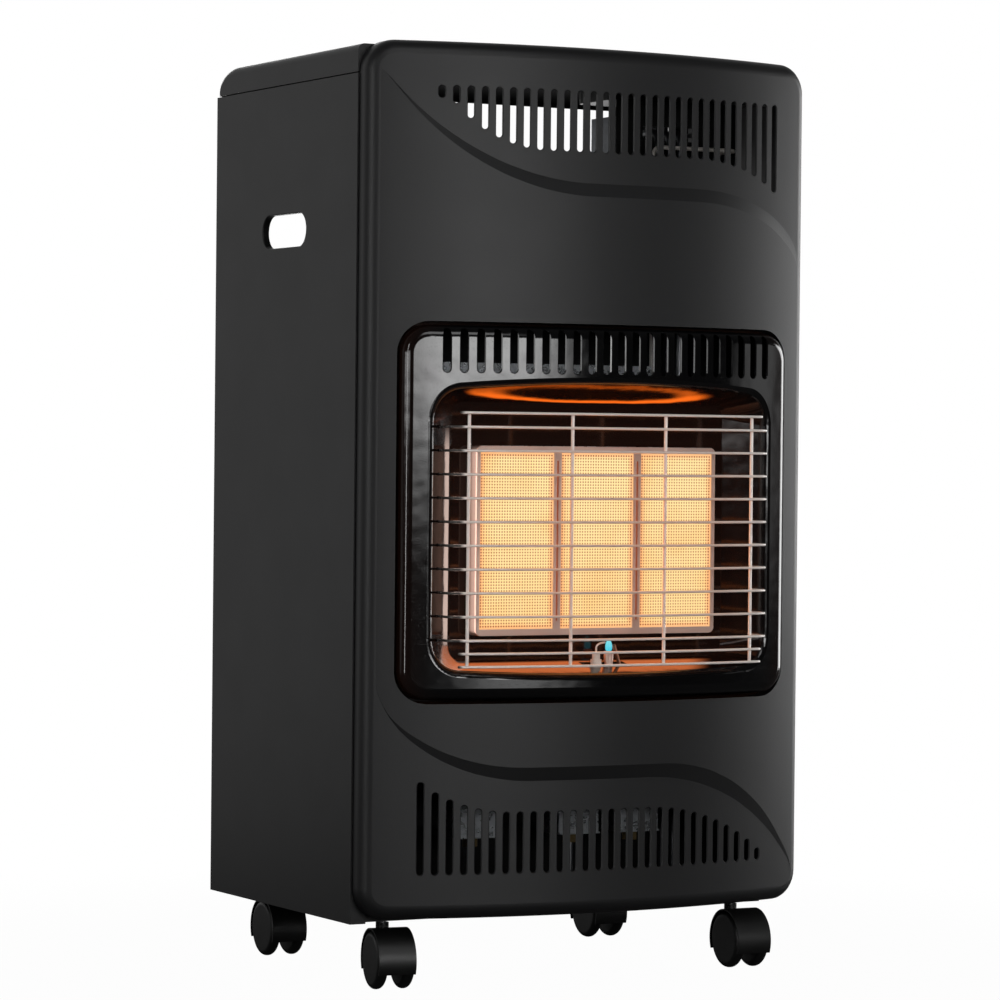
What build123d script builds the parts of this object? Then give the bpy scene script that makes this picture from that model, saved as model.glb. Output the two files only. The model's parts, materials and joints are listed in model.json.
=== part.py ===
from build123d import *
import math
import os
from collections import namedtuple

# A portable gas cabinet heater on four twin-wheel castors, in millimetres.
# X runs to the right seen from the front, Y to the rear, Z up from the floor.
# The origin is on the floor, under the middle of the heater's outline.

# ---------------------------------------------------------------- cabinet
body_width = 420.0
body_depth = 330.0
guard_proud = 20.0
ground_clearance = 55.0
side_height = 691.0
cover_height = 24.0
sheet = 1.2
flange = 14.0
rear_flange = 25.0
panel_gap = 1.2
fit_gap = 0.3

# ---------------------------------------------------------------- front panel
front_step_in = 1.5
front_rise = 3.0
front_lift = 4.5
front_rim_depth = 52.0
front_corner = 25.0
front_roll = 12.0
bow_sagitta = 37.0
opening_width = 370.0
opening_bottom = 235.0
opening_height = 310.5
opening_corner = 26.0

# The middle of the panel is pressed forward between two wave-shaped shoulders.
# It sinks into the face at both ends, a little short of the rolled edge.
relief_height = 4.0
relief_left = 199.5
relief_left_fade = 200.5
relief_right = 200.0
relief_right_fade = 203.0
relief_sections = 26
relief_root = 0.6
relief_end_cover = 10.0

# A wave is level in the middle, climbs on one side along an arc and falls on the other
# side along a quarter ellipse. The lower waves are the upper ones turned half round.
Wave = namedtuple("Wave", "level climb_from climb_radius fall_from fall_run fall_drop")
upper_foot = Wave(661.0, -20.0, 222.0, 86.0, 118.0, 66.0)
upper_crest = Wave(650.0, -20.0, 206.0, 86.0, 118.0, 66.0)
lower_foot = Wave(661.2, -40.0, 196.0, 70.0, 132.0, 95.3)
lower_crest = Wave(649.9, -53.0, 160.0, 77.0, 132.0, 92.4)
upper_slot_ends = Wave(685.8, -61.0, 103.0, 84.0, 112.0, 66.0)
lower_slot_ends = Wave(685.8, -38.0, 200.0, 84.0, 100.0, 66.0)

slot_count = 28
slot_pitch = 11.88
slot_width = 6.8
slot_row_end = 736.9
shortest_slot = 11.0
upper_first_slot = -150.9
lower_first_slot = -158.0

# Slots and vents are drawn in at their front edge, down to a narrower throat.
drawn_edge = 0.8
drawn_depth = 0.9

# ---------------------------------------------------------------- handles
handle_depth_in = 191.5
handle_height = 624.0
handle_length = 85.0
handle_opening = 28.0
handle_lip = 6.0
handle_edge_round = 1.0

# ---------------------------------------------------------------- top cover and controls
cover_side_round = 6.0
cover_rear_run = 36.0
cover_rear_drop = 20.0
cover_rear_lip = 8.0
cover_seam = 1.0
seam_setback = 4.0

control_inset = 68.0
control_depth_in = 190.0
control_length = 108.0
control_width = 66.0
control_corner = 10.0
control_sink = 20.0
control_wall = 2.5
control_rim = 4.0
control_rim_height = 1.2

knob_offset = 18.0
knob_edge_round = 2.0
knob_float = 5.5
knob_skirt_radius = 23.0
knob_skirt_height = 4.0
knob_grip_radius = 19.0
knob_grip_height = 15.0
knob_flutes = 18
knob_flute_radius = 1.4
pointer_width = 3.0
pointer_height = 1.0
push_travel = 4.0

spindle_radius = 4.0
spindle_entry = 14.0
spindle_flange_radius = 5.4
spindle_flange_height = 2.0
plunger_radius = 6.0
plunger_length = 14.0
running_clearance = 0.05

valve_width = 54.0
valve_depth = 46.0
valve_height = 36.0
valve_neck_radius = 11.0
valve_neck_height = 13.5
valve_corner = 4.0
outlet_spacing = 11.0
outlet_radius = 4.5
outlet_length = 9.0
gas_inlet_radius = 4.5
gas_inlet_length = 24.0
gas_inlet_hex = 14.0
gas_inlet_hex_length = 8.0

igniter_offset = 32.0
igniter_radius = 9.0
igniter_length = 35.0
igniter_collar_radius = 11.5
igniter_collar_height = 3.0
igniter_nut_radius = 13.0
igniter_nut_height = 4.0
button_radius = 6.5
button_length = 25.0
button_proud = 7.0
button_travel = 6.0

# ---------------------------------------------------------------- base, bulkhead, shield
tray_sheet = 1.5
tray_lip = 10.0
tray_side_lip = 14.0
bulkhead_depth_in = 120.0
bulkhead_top = 650.0
bracket_reach = 54.0
bracket_lap = 20.0
pipe_window_margin = 6.0
shield_left = 118.0
shield_right = 84.0
shield_bottom = 262.0
shield_top = 514.0
shield_fold = 18.0

# ---------------------------------------------------------------- fire surround
surround_gap = 3.0
surround_proud = 10.0
surround_sagitta = 40.0
surround_roll = 10.0
surround_flange = 10.0
cavity_depth = 38.0
cavity_rim_half_width = 160.0
cavity_rim_depth = 13.0
cavity_side_slope = 1.22
cavity_top = 497.5
cavity_top_slope = 0.35
cavity_bottom = 258.0
cavity_bottom_slope = 0.22
cavity_rim_corner = 26.0
cavity_corner_slope = 0.6
cavity_rim_roll = 6.0
vent_count = 23
vent_pitch = 13.8
vent_width = 7.8
vent_shift = 3.2
vent_bottom = 503.5
vent_height = 37.0
reflector_overlap = 8.0
reflector_sheet = 1.0

# ---------------------------------------------------------------- wire guard
guard_bow_radius = 702.0
bar_radius = 1.1
upright_radius = 1.4
weld_sink = 0.2
bar_pitch = 19.2
long_bar_count = 10
lowest_long_bar = 287.2
short_bar_drop = 10.6
short_bar_count = 2
top_bar_rise = 11.5
long_bar_half = 150.0
short_bar_half = 143.5
bar_bend = 5.0
bar_through = 4.0
bar_hole_radius = 1.5
upright_places = (-134.9, -45.6, 42.4, 133.0)

# ---------------------------------------------------------------- burner
burner_face_depth = 22.5
burner_bottom = 289.5
burner_height = 155.5
burner_width = 227.0
burner_frame_depth = 22.0
burner_corner = 5.0
plaque_count = 3
plaque_window_width = 69.0
plaque_window_height = 145.0
plaque_pitch = 75.8
plaque_lap = 1.5
plaque_thickness = 12.0
slit_width = 1.6
slit_height = 132.0
plenum_depth = 44.0
venturi_depth_in = 64.0
venturi_radius = 12.0
venturi_mouth_radius = 15.0
venturi_mouth_height = 14.0
venturi_bottom = 156.0
venturi_offsets = (-19.0, 0.0, -18.0)
holder_width = 38.0
holder_depth = 30.0
holder_bottom = 121.5
holder_lip = 3.0
rail_height = 26.0
rail_flange = 12.0
injector_radius = 5.0
injector_hex = 12.0
injector_hex_height = 8.0
injector_height = 24.0

# ---------------------------------------------------------------- pilot
pilot_x = 10.5
pilot_depth_in = 20.0
pilot_radius = 3.5
pilot_bottom = 252.0
pilot_height = 27.5
pilot_hood_radius = 4.0
pilot_hood_height = 8.0
electrode_x = -1.5
electrode_radius = 4.6
electrode_height = 21.0
electrode_tip_radius = 3.3
electrode_tip_height = 6.0
electrode_wire_radius = 0.8
electrode_wire_rise = 4.0
thermocouple_x = 22.0
thermocouple_radius = 1.4
thermocouple_straight = 13.0
thermocouple_height = 33.0
thermocouple_lean = 6.8
thermocouple_bend = 3.0
thermocouple_lead_radius = 1.25
pilot_plate_low = -16.0
pilot_plate_high = 30.0
pilot_plate_half_depth = 10.0
pilot_window_margin = 2.0
pilot_window_height = 25.0

# ---------------------------------------------------------------- pipes and leads
gas_pipe_radius = 3.0
pipe_run_depth_in = 102.0
pipe_bend = 10.0
lowest_pipe = 63.5
pipe_level_step = 7.5
pilot_pipe_radius = 2.0
lead_radius = 1.8
lead_foot_length = 4.0
lead_exit_drop = 4.6
lead_exit_depth_in = 46.0
lead_exit_bend = 4.0
lead_run_depth_in = 112.0
lead_step = 8.0
highest_lead_level = 232.0
lead_bend = 7.0
ignition_run_depth_in = 92.0
ignition_rise_offset = 33.0
ignition_level = 702.0

# ---------------------------------------------------------------- castors
castor_inset = 42.0
castor_front_depth_in = 78.5
castor_rear_side_inset = 49.5
castor_rear_inset = 19.0
castor_trail = 18.0
wheel_radius = 24.0
wheel_width = 9.6
wheel_round = 4.5
wheel_cap = 1.6
web_width = 12.4
wheel_side_gap = 0.4
wheel_top_gap = 0.8
hood_wall = 1.2
hood_half_width = 15.8
hood_skirt = 14.0
web_lift = 15.5
boss_radius = 5.4
boss_top = 52.5
stem_radius = 3.0
stem_depth = 28.0
stem_shoulder_radius = 5.0
stem_shoulder_height = 1.2
stem_top_length = 10.0
thrust_gap = 0.3
axle_radius = 2.5
castor_angles = {"front_left": -9.0, "front_right": -3.0, "rear_left": -2.5, "rear_right": -2.0}

# ---------------------------------------------------------------- fasteners
screw_radius = 2.0
screw_clearance = 0.2
screw_head_radius = 4.0
screw_head_height = 2.4
screw_grip = 6.0
tray_screw_grip = 4.0
cover_screw_depth_in = 90.0
cover_screw_rear_inset = 60.0
tray_screw_depth_in = 140.0
tray_screw_rear_inset = 90.0
panel_screw_levels = (0.15, 0.5, 0.85)
nut_across_flats = 10.0
nut_height = 5.0
thread_clearance = 0.1

# ---------------------------------------------------------------- worked-out places
half_width = body_width / 2
front_y = guard_proud - (body_depth + guard_proud) / 2
rear_y = front_y + body_depth
side_bottom = ground_clearance
side_top = side_bottom + side_height
cover_top = side_top + cover_height
front_bottom = side_bottom + front_lift
front_top = cover_top + front_rise
front_half = half_width - front_step_in
rim_y = front_y + front_rim_depth
side_front_y = rim_y + panel_gap
opening_top = opening_bottom + opening_height
tray_low = side_bottom + sheet
tray_high = tray_low + tray_sheet
surround_half = opening_width / 2 - surround_gap
surround_low = opening_bottom + surround_gap
surround_high = opening_top - surround_gap
surround_corner = opening_corner - surround_gap
surround_apex = front_y - surround_proud
cavity_back_y = front_y + cavity_depth
burner_y = front_y + burner_face_depth
burner_mid_z = burner_bottom + burner_height / 2
plaque_back_y = burner_y + sheet + plaque_thickness
plenum_back_y = plaque_back_y + plenum_depth
control_x = half_width - control_inset
control_y = front_y + control_depth_in
knob_x = control_x - knob_offset
igniter_x = control_x + igniter_offset
bracket_left = knob_x - bracket_reach
ignition_rise_x = knob_x - ignition_rise_offset
castor_front_x = half_width - castor_inset
castor_rear_x = half_width - castor_rear_side_inset
control_floor = cover_top - control_sink
valve_top = control_floor - control_wall - valve_neck_height
valve_bottom = valve_top - valve_height
valve_front_y = control_y - valve_depth / 2
valve_mid_z = (valve_top + valve_bottom) / 2
knob_bottom = control_floor + knob_float
pilot_foot = pilot_bottom - lead_foot_length
igniter_foot = control_floor - control_wall - igniter_length
wheel_inner = web_width / 2 + wheel_side_gap
axle_half_length = wheel_inner + wheel_width - wheel_cap - fit_gap
wheel_axis_z = wheel_radius


def radius_of_bow(half_chord, sagitta):
    """Radius of the arc with this half chord and this rise."""
    return (half_chord**2 + sagitta**2) / (2 * sagitta)


bow_radius = radius_of_bow(half_width, bow_sagitta)


def bow_y(x, apex_y, radius):
    """Y of a bowed face at this X, for a bow whose foremost line is at apex_y."""
    return apex_y + radius - math.sqrt(radius**2 - x**2)


relief_apex = front_y - relief_height
lip_apex = relief_apex + sheet / 2
lip_radius = radius_of_bow(opening_width / 2, bow_y(opening_width / 2, front_y, bow_radius) - lip_apex)
surround_radius = radius_of_bow(half_width, surround_sagitta)


# ---------------------------------------------------------------- shape helpers
def back(depth_in):
    """Y at this depth behind the crown of the front face."""
    return front_y + depth_in


def block(x_span, y_span, z_span):
    """Box between two values on each axis."""
    sizes = [high - low for low, high in (x_span, y_span, z_span)]
    middle = [(low + high) / 2 for low, high in (x_span, y_span, z_span)]
    return Pos(*middle) * Box(*sizes)


def rod(start, direction, radius, length):
    """Round bar from a start point along a direction."""
    return extrude(Plane(origin=start, z_dir=direction) * Circle(radius), length)


def hex_bar(start, direction, across_flats, length):
    """Hexagon bar from a start point along a direction."""
    corner = across_flats / math.sqrt(3)
    return extrude(Plane(origin=start, z_dir=direction) * RegularPolygon(corner, 6), length)


def facing_front(y):
    """Plane at this Y whose sketch is seen from the front and pulls towards the front."""
    return Plane.XZ.offset(-y)


def rounded_outline(half, z_span, corner):
    """Rounded rectangle in X and Z, centred on X."""
    low, high = z_span
    return Pos(0, (low + high) / 2) * RectangleRounded(2 * half, high - low, corner)


def prism(sketch, front, rear):
    """A front-view sketch made solid between two values of Y."""
    return extrude(facing_front(rear) * sketch, rear - front)


def bowed_block(half, z_span, corner, apex_y, radius, rear):
    """Block with a rounded outline and a front face bowed about an upright axis."""
    low, high = z_span
    blank = prism(rounded_outline(half, z_span, corner), apex_y - 1, rear)
    bow = Pos(0, apex_y + radius, (low + high) / 2) * Cylinder(radius, high - low + 2)
    return blank & bow


def rolled_edge(solid, radius):
    """The solid with the edge round its front face rounded."""
    return fillet(solid.faces().sort_by(Axis.Y)[0].edges(), radius)


def tube_along(points, radius, bend):
    """Solid tube whose centre line is straight runs joined by arcs."""
    path = FilletPolyline(*points, radius=bend)
    return sweep(Plane(origin=path @ 0, z_dir=path % 0) * Circle(radius), path=path)


def mirrored(solid):
    """The same solid on the other side of the heater."""
    return mirror(solid, Plane.YZ)


def drawn_slot(x, z_span, width, apex_y, radius, through):
    """Tool that cuts an upright slot square to a bowed sheet and draws in its front edge."""
    low, high = z_span
    cosine = math.sqrt(radius**2 - x**2) / radius
    start = (x, bow_y(x, apex_y, radius), (low + high) / 2)
    face = Plane(origin=start, x_dir=(cosine, x / radius, 0), z_dir=(x / radius, -cosine, 0))
    throat = SlotOverall(high - low - 2 * drawn_edge, width - 2 * drawn_edge, rotation=90)
    mouth = SlotOverall(high - low + 2 * drawn_edge, width + 2 * drawn_edge, rotation=90)
    drawn = loft([face.offset(drawn_depth) * mouth, face.offset(-drawn_depth) * throat], ruled=True)
    return drawn + extrude(face.offset(drawn_depth) * throat, -drawn_depth - through)


# ---------------------------------------------------------------- front panel
def wave_z(wave, x):
    """Height of a wave at this X."""
    if x < wave.climb_from:
        run = wave.climb_from - x
        return wave.level + wave.climb_radius - math.sqrt(wave.climb_radius**2 - run**2)
    if x > wave.fall_from:
        share = (x - wave.fall_from) / wave.fall_run
        return wave.level - wave.fall_drop * (1 - math.sqrt(1 - share**2))
    return wave.level


def turned_z(wave, x):
    """Height at this X of a wave turned half round about the middle of the front panel."""
    return front_bottom + front_top - wave_z(wave, -x)


def panel_form(inset, rear):
    """Outer form of the front panel, or the same form stepped in by the sheet."""
    z_span = (front_bottom + inset, front_top - inset)
    form = bowed_block(front_half - inset, z_span, front_corner - inset, front_y + inset, bow_radius - inset, rear)
    return rolled_edge(form, front_roll - inset)


def relief_form(inset, left, right):
    """The raised middle of the panel, from upright sections set across its width."""
    sections = []
    for i in range(relief_sections + 1):
        x = -left + (left + right) * i / relief_sections
        fade = relief_left_fade if x < 0 else relief_right_fade
        rise = relief_height * (1 - (x / fade) ** 2)
        root = min(relief_root, rise)
        root_y = bow_y(x, front_y, bow_radius) + root + inset
        crest_y = root_y - root - rise
        upper = wave_z(upper_foot, x)
        upper_edge = wave_z(upper_crest, x)
        lower = turned_z(lower_foot, x)
        lower_edge = turned_z(lower_crest, x)
        corners = (
            (x, root_y, lower - (lower_edge - lower) * root / rise),
            (x, crest_y, lower_edge),
            (x, crest_y, upper_edge),
            (x, root_y, upper + (upper - upper_edge) * root / rise),
        )
        sections.append(make_face(Polyline(*corners, close=True)))
    return loft(sections)


def grille_slots(first_x, ends, turned):
    """Tools for the slots of one grille, whose ends follow the wave beside them."""
    slots = []
    for i in range(slot_count):
        x = first_x + i * slot_pitch
        span = (min(wave_z(ends, x), slot_row_end - shortest_slot), slot_row_end)
        if turned:
            x, span = -x, (front_bottom + front_top - span[1], front_bottom + front_top - span[0])
        slots.append(drawn_slot(x, span, slot_width, front_y, bow_radius, 3 * sheet))
    return slots


def opening_outline(grow):
    """Outline of the opening for the fire surround."""
    z_span = (opening_bottom - grow, opening_top + grow)
    return rounded_outline(opening_width / 2 + grow, z_span, opening_corner + grow)


def panel_screw_places():
    """X and Z of the screws that join the front panel to the side panels."""
    x = front_half - flange / 2
    levels = [front_bottom + (front_top - front_bottom) * share for share in panel_screw_levels]
    return [(side * x, z) for side in (-1, 1) for z in levels]


def make_front_panel():
    """Pressed front with two slotted grilles, the raised middle and the fire opening."""
    panel = panel_form(0, rim_y) - panel_form(sheet, rim_y - sheet)
    inner = (front_bottom + flange, front_top - flange)
    panel -= prism(rounded_outline(front_half - flange, inner, front_corner), rim_y - 2 * sheet, rim_y + 1)
    panel += relief_form(0, relief_left, relief_right)
    panel -= relief_form(sheet, relief_left - relief_end_cover, relief_right - relief_end_cover)
    foremost = relief_apex - 1
    panel -= prism(opening_outline(0), foremost, cavity_back_y)
    lip = prism(opening_outline(sheet) - opening_outline(0), foremost, cavity_back_y)
    panel += lip & Pos(0, lip_apex + lip_radius, opening_top) * Cylinder(lip_radius, 2 * opening_height)
    panel -= grille_slots(upper_first_slot, upper_slot_ends, False)
    panel -= grille_slots(lower_first_slot, lower_slot_ends, True)
    for x, z in panel_screw_places():
        panel -= rod((x, rim_y + 1, z), (0, -1, 0), screw_radius + screw_clearance, 2 * sheet + 1)
    return panel


# ---------------------------------------------------------------- side panels
def right_corner_cut():
    """What the rounding of the right side's lower front corner takes away."""
    reach = 2 * flange
    corner_y = side_front_y + front_corner
    corner_z = side_bottom + front_corner
    corner = block((half_width - reach, half_width + 1), (side_front_y - 1, corner_y), (side_bottom - 1, corner_z))
    return corner - rod((half_width - reach - 1, corner_y, corner_z), (1, 0, 0), front_corner, reach + 3)


def handle_outline(grow):
    """Outline of the handle hole, in Y and Z."""
    return SlotOverall(handle_length + 2 * grow, handle_opening + 2 * grow)


def cover_screw_places():
    """X and Y of the screws that join the cover to the side panels."""
    x = half_width - flange / 2
    rows = (back(cover_screw_depth_in), rear_y - cover_screw_rear_inset)
    return [(side * x, y) for side in (-1, 1) for y in rows]


def tray_screw_places():
    """X and Y of the screws that join the base tray to the side panels."""
    x = half_width - flange / 2 - sheet
    rows = (back(tray_screw_depth_in), rear_y - tray_screw_rear_inset)
    return [(side * x, y) for side in (-1, 1) for y in rows]


def make_side_panel():
    """Right-hand side panel, folded, with a lipped handle hole and a flange along each edge."""
    inside = half_width - sheet
    panel = block((inside, half_width), (side_front_y, rear_y), (side_bottom, side_top))
    panel += block((half_width - rear_flange, half_width), (rear_y - sheet, rear_y), (side_bottom, side_top))
    panel += block((half_width - flange, half_width), (side_front_y, side_front_y + sheet), (side_bottom, side_top))
    panel += block((half_width - flange, half_width), (side_front_y, rear_y), (side_bottom, tray_low))
    panel += block((half_width - flange, half_width), (side_front_y, rear_y), (side_top - sheet, side_top))
    handle_plane = Plane(origin=(half_width, back(handle_depth_in), handle_height), x_dir=(0, 1, 0), z_dir=(1, 0, 0))
    panel += extrude(handle_plane * handle_outline(sheet), -handle_lip)
    panel -= extrude(handle_plane.offset(1) * handle_outline(0), -handle_lip - 2)
    rim = panel.edges().filter_by_position(Axis.X, half_width - 0.01, half_width + 0.01)
    reach = handle_length / 2 + 1
    rim = rim.filter_by_position(Axis.Y, back(handle_depth_in) - reach, back(handle_depth_in) + reach)
    rim = rim.filter_by_position(Axis.Z, handle_height - handle_opening, handle_height + handle_opening)
    panel = fillet(rim, handle_edge_round)
    hole = screw_radius + screw_clearance
    for x, z in panel_screw_places():
        if x > 0:
            panel -= rod((x, side_front_y - 1, z), (0, 1, 0), hole, sheet + 2)
    for x, y in cover_screw_places():
        if x > 0:
            panel -= rod((x, y, side_top - sheet - 1), (0, 0, 1), hole, sheet + 2)
    for x, y in tray_screw_places():
        if x > 0:
            panel -= rod((x, y, side_bottom - 1), (0, 0, 1), hole, sheet + 2)
    return panel


# ---------------------------------------------------------------- top cover
def cover_form(inset):
    """Side profile of the cover run across the heater, with rounded long edges."""
    low = side_top + cover_seam - (1 if inset else 0)
    front = side_front_y + inset
    rear = rear_y - inset
    top = cover_top - inset
    run = cover_rear_run - inset
    drop = cover_rear_drop - inset
    corner = EllipticalCenterArc((rear - run, top - drop), run, drop, arc_size=90)
    walls = Polyline((rear - run, top), (front, top), (front, low), (rear, low), (rear, top - drop))
    profile = make_face(Curve() + [corner, walls])
    half = half_width - inset
    form = extrude(Plane(origin=(-half, 0, 0), x_dir=(0, 1, 0), z_dir=(1, 0, 0)) * profile, 2 * half)
    long_edges = form.edges().filter_by(Axis.Y).filter_by_position(Axis.Z, top - 0.01, top + 0.01)
    curved = form.edges().filter_by(GeomType.ELLIPSE)
    return fillet(long_edges + curved, cover_side_round - inset)


def control_outline(grow):
    """Outline of the sunk control panel, seen from above."""
    return Pos(control_x, control_y) * RectangleRounded(
        control_length + 2 * grow, control_width + 2 * grow, control_corner + grow
    )


def make_top_cover():
    """Top cover with a cut-out for the controls and a lip over the open rear."""
    cover = cover_form(0) - cover_form(sheet)
    inner = half_width - rear_flange
    cover -= block((-inner, inner), (rear_y - 2 * sheet, rear_y + 1), (side_top - 1, side_top + cover_rear_lip))
    cover -= extrude(Plane.XY.offset(cover_top + 1) * control_outline(fit_gap), -cover_height / 2)
    along = (side_front_y + sheet, rear_y - cover_rear_run)
    lip_z = side_top + cover_seam
    for side in (-1, 1):
        edge = sorted((side * (half_width - flange), side * (half_width - sheet)))
        seat = sorted((side * (half_width - flange), side * (half_width - seam_setback)))
        cover += block(edge, along, (lip_z, lip_z + sheet)) + block(seat, along, (side_top, lip_z))
    for x, y in cover_screw_places():
        cover -= rod((x, y, side_top - 1), (0, 0, 1), screw_radius + screw_clearance, cover_seam + sheet + 2)
    return cover


# ---------------------------------------------------------------- controls
def make_control_panel():
    """Sunk moulded tray with a rim that rests on the cover."""
    depth = control_sink + control_wall
    tub = extrude(Plane.XY.offset(cover_top) * control_outline(0), -depth)
    tub += extrude(Plane.XY.offset(cover_top) * control_outline(control_rim), control_rim_height)
    tub -= extrude(Plane.XY.offset(control_floor) * control_outline(-control_wall), control_sink + control_rim_height)
    tub -= rod((knob_x, control_y, control_floor + 1), (0, 0, -1), spindle_radius + 1, control_wall + 2)
    tub -= rod((igniter_x, control_y, control_floor + 1), (0, 0, -1), igniter_radius + fit_gap, control_wall + 2)
    return tub


def outlet_places():
    """X of the outlets on the front of the valve: three burner pipes, pilot, thermocouple."""
    return [knob_x + outlet_spacing * step for step in (-2, -1, 0, 1, 2)]


def plunger_top():
    """Height of the plunger's upper end at rest."""
    return valve_top - plunger_length / 2


def make_gas_valve():
    """Valve body with its neck, its bore, five front outlets and the inlet boss."""
    left = knob_x - valve_width / 2
    body = block((left, left + valve_width), (valve_front_y, valve_front_y + valve_depth), (valve_bottom, valve_top))
    body = fillet(body.edges().filter_by(Axis.Z), valve_corner)
    body += rod((knob_x, control_y, valve_top - 1), (0, 0, 1), valve_neck_radius, valve_neck_height + 1)
    for x in outlet_places():
        body += rod((x, valve_front_y + 1, valve_mid_z), (0, -1, 0), outlet_radius, outlet_length + 1)
    bore_bottom = plunger_top() - plunger_length - push_travel - 2
    bore_top = plunger_top() + spindle_flange_height + 1
    body -= rod((knob_x, control_y, bore_bottom), (0, 0, 1), plunger_radius + running_clearance, bore_top - bore_bottom)
    guide = valve_top + valve_neck_height + 1 - bore_top
    body -= rod((knob_x, control_y, bore_top - 1), (0, 0, 1), spindle_radius + running_clearance, guide + 1)
    return body


def make_valve_plunger():
    """Plunger that the spindle presses down to open the pilot."""
    start = (knob_x, control_y, plunger_top() - plunger_length)
    return rod(start, (0, 0, 1), plunger_radius, plunger_length)


def make_valve_spindle():
    """Spindle with a foot that stands on the plunger and a top that fits the knob."""
    foot = rod((knob_x, control_y, plunger_top()), (0, 0, 1), spindle_flange_radius, spindle_flange_height)
    length = knob_bottom + spindle_entry - plunger_top()
    return foot + rod((knob_x, control_y, plunger_top()), (0, 0, 1), spindle_radius, length)


def make_control_knob():
    """Fluted knob with a skirt, a pointer ridge and a socket for the spindle."""
    skirt = rod((knob_x, control_y, knob_bottom), (0, 0, 1), knob_skirt_radius, knob_skirt_height)
    skirt = fillet(skirt.edges().sort_by(Axis.Z)[-1], knob_skirt_height / 3)
    grip_bottom = knob_bottom + knob_skirt_height
    grip = rod((knob_x, control_y, grip_bottom - 1), (0, 0, 1), knob_grip_radius, knob_grip_height + 1)
    grip = fillet(grip.edges().sort_by(Axis.Z)[-1], knob_edge_round)
    for i in range(knob_flutes):
        angle = math.radians(360 * (i + 0.5) / knob_flutes)
        x = knob_x + knob_grip_radius * math.cos(angle)
        y = control_y + knob_grip_radius * math.sin(angle)
        grip -= rod((x, y, grip_bottom), (0, 0, 1), knob_flute_radius, knob_grip_height + 1)
    knob = skirt + grip
    top = grip_bottom + knob_grip_height
    reach = knob_grip_radius - 3 * knob_flute_radius
    pointer = block(
        (knob_x - pointer_width / 2, knob_x + pointer_width / 2),
        (control_y - reach, control_y),
        (top - 1, top + pointer_height),
    )
    knob += pointer
    return knob - rod((knob_x, control_y, knob_bottom - 1), (0, 0, 1), spindle_radius, spindle_entry + 1)


def make_gas_inlet():
    """Hose tail at the rear of the valve, where the supply hose is clamped on."""
    start_y = valve_front_y + valve_depth
    tail = hex_bar((knob_x, start_y, valve_mid_z), (0, 1, 0), gas_inlet_hex, gas_inlet_hex_length)
    return tail + rod(
        (knob_x, start_y, valve_mid_z), (0, 1, 0), gas_inlet_radius, gas_inlet_hex_length + gas_inlet_length
    )


def make_igniter_body():
    """Push igniter housing, held in the control panel by a collar and a nut."""
    floor_low = control_floor - control_wall
    axis = (igniter_x, control_y)
    body = rod((*axis, igniter_foot), (0, 0, 1), igniter_radius, igniter_length + control_wall + 1)
    body += rod((*axis, control_floor), (0, 0, 1), igniter_collar_radius, igniter_collar_height)
    body += rod((*axis, floor_low - igniter_nut_height), (0, 0, 1), igniter_nut_radius, igniter_nut_height)
    bore_top = control_floor + igniter_collar_height + 1
    bore_length = button_length - button_proud + button_travel + 3
    return body - rod((*axis, bore_top), (0, 0, -1), button_radius + running_clearance, bore_length)


def make_igniter_button():
    """Button that strikes the igniter when it is pushed home."""
    top = control_floor + igniter_collar_height + button_proud
    button = rod((igniter_x, control_y, top), (0, 0, -1), button_radius, button_length)
    return fillet(button.edges().sort_by(Axis.Z)[-1], 1.0)


# ---------------------------------------------------------------- base tray and bulkhead
def castor_places():
    """Name, X and Y of each castor's stem."""
    places = {}
    rows = (("front", castor_front_x, back(castor_front_depth_in)), ("rear", castor_rear_x, rear_y - castor_rear_inset))
    for row, x, y in rows:
        places[row + "_left"] = (-x, y)
        places[row + "_right"] = (x, y)
    return places


def make_base_tray():
    """Floor that the gas cylinder stands on, folded up along its edges."""
    half = half_width - sheet - fit_gap
    front = side_front_y + sheet + fit_gap
    rear = rear_y - sheet - fit_gap
    tray = block((-half, half), (front, rear), (tray_low, tray_high))
    for side in (-1, 1):
        edge = sorted((side * half, side * (half - tray_sheet)))
        tray += block(edge, (front, rear), (tray_low, tray_low + tray_side_lip))
    for y_span in ((front, front + tray_sheet), (rear - tray_sheet, rear)):
        tray += block((-half, half), y_span, (tray_low, tray_high + tray_lip))
    for x, y in castor_places().values():
        tray -= rod((x, y, tray_low - 1), (0, 0, 1), stem_radius + screw_clearance, tray_sheet + 2)
    for x, y in tray_screw_places():
        tray -= rod((x, y, tray_low - 1), (0, 0, 1), screw_radius + screw_clearance, tray_sheet + 2)
    return tray - right_corner_cut()


def make_bulkhead():
    """Upright sheet between the burner and the cylinder, folded forward at its edges."""
    half = half_width - sheet - fit_gap
    front = back(bulkhead_depth_in)
    low = tray_high
    foot_half = half - tray_sheet - fit_gap
    wall = block((-half, half), (front, front + sheet), (tray_low + tray_side_lip + fit_gap, bulkhead_top))
    wall += block((-foot_half, foot_half), (front, front + sheet), (low, tray_low + tray_side_lip + 1))
    wall += block((-foot_half, foot_half), (front - flange, front + sheet), (low, low + sheet))
    for side in (-1, 1):
        edge = sorted((side * half, side * (half - sheet)))
        wall += block(edge, (front - flange, front + sheet), (tray_low + tray_side_lip + fit_gap, bulkhead_top))
    return wall


def make_heat_shield():
    """Bright sheet on the back of the burner boxes, folded back at its top."""
    front = plenum_back_y
    shield = block((-shield_left, shield_right), (front, front + sheet), (shield_bottom, shield_top))
    return shield + block((-shield_left, shield_right), (front, front + shield_fold), (shield_top - sheet, shield_top))


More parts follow.
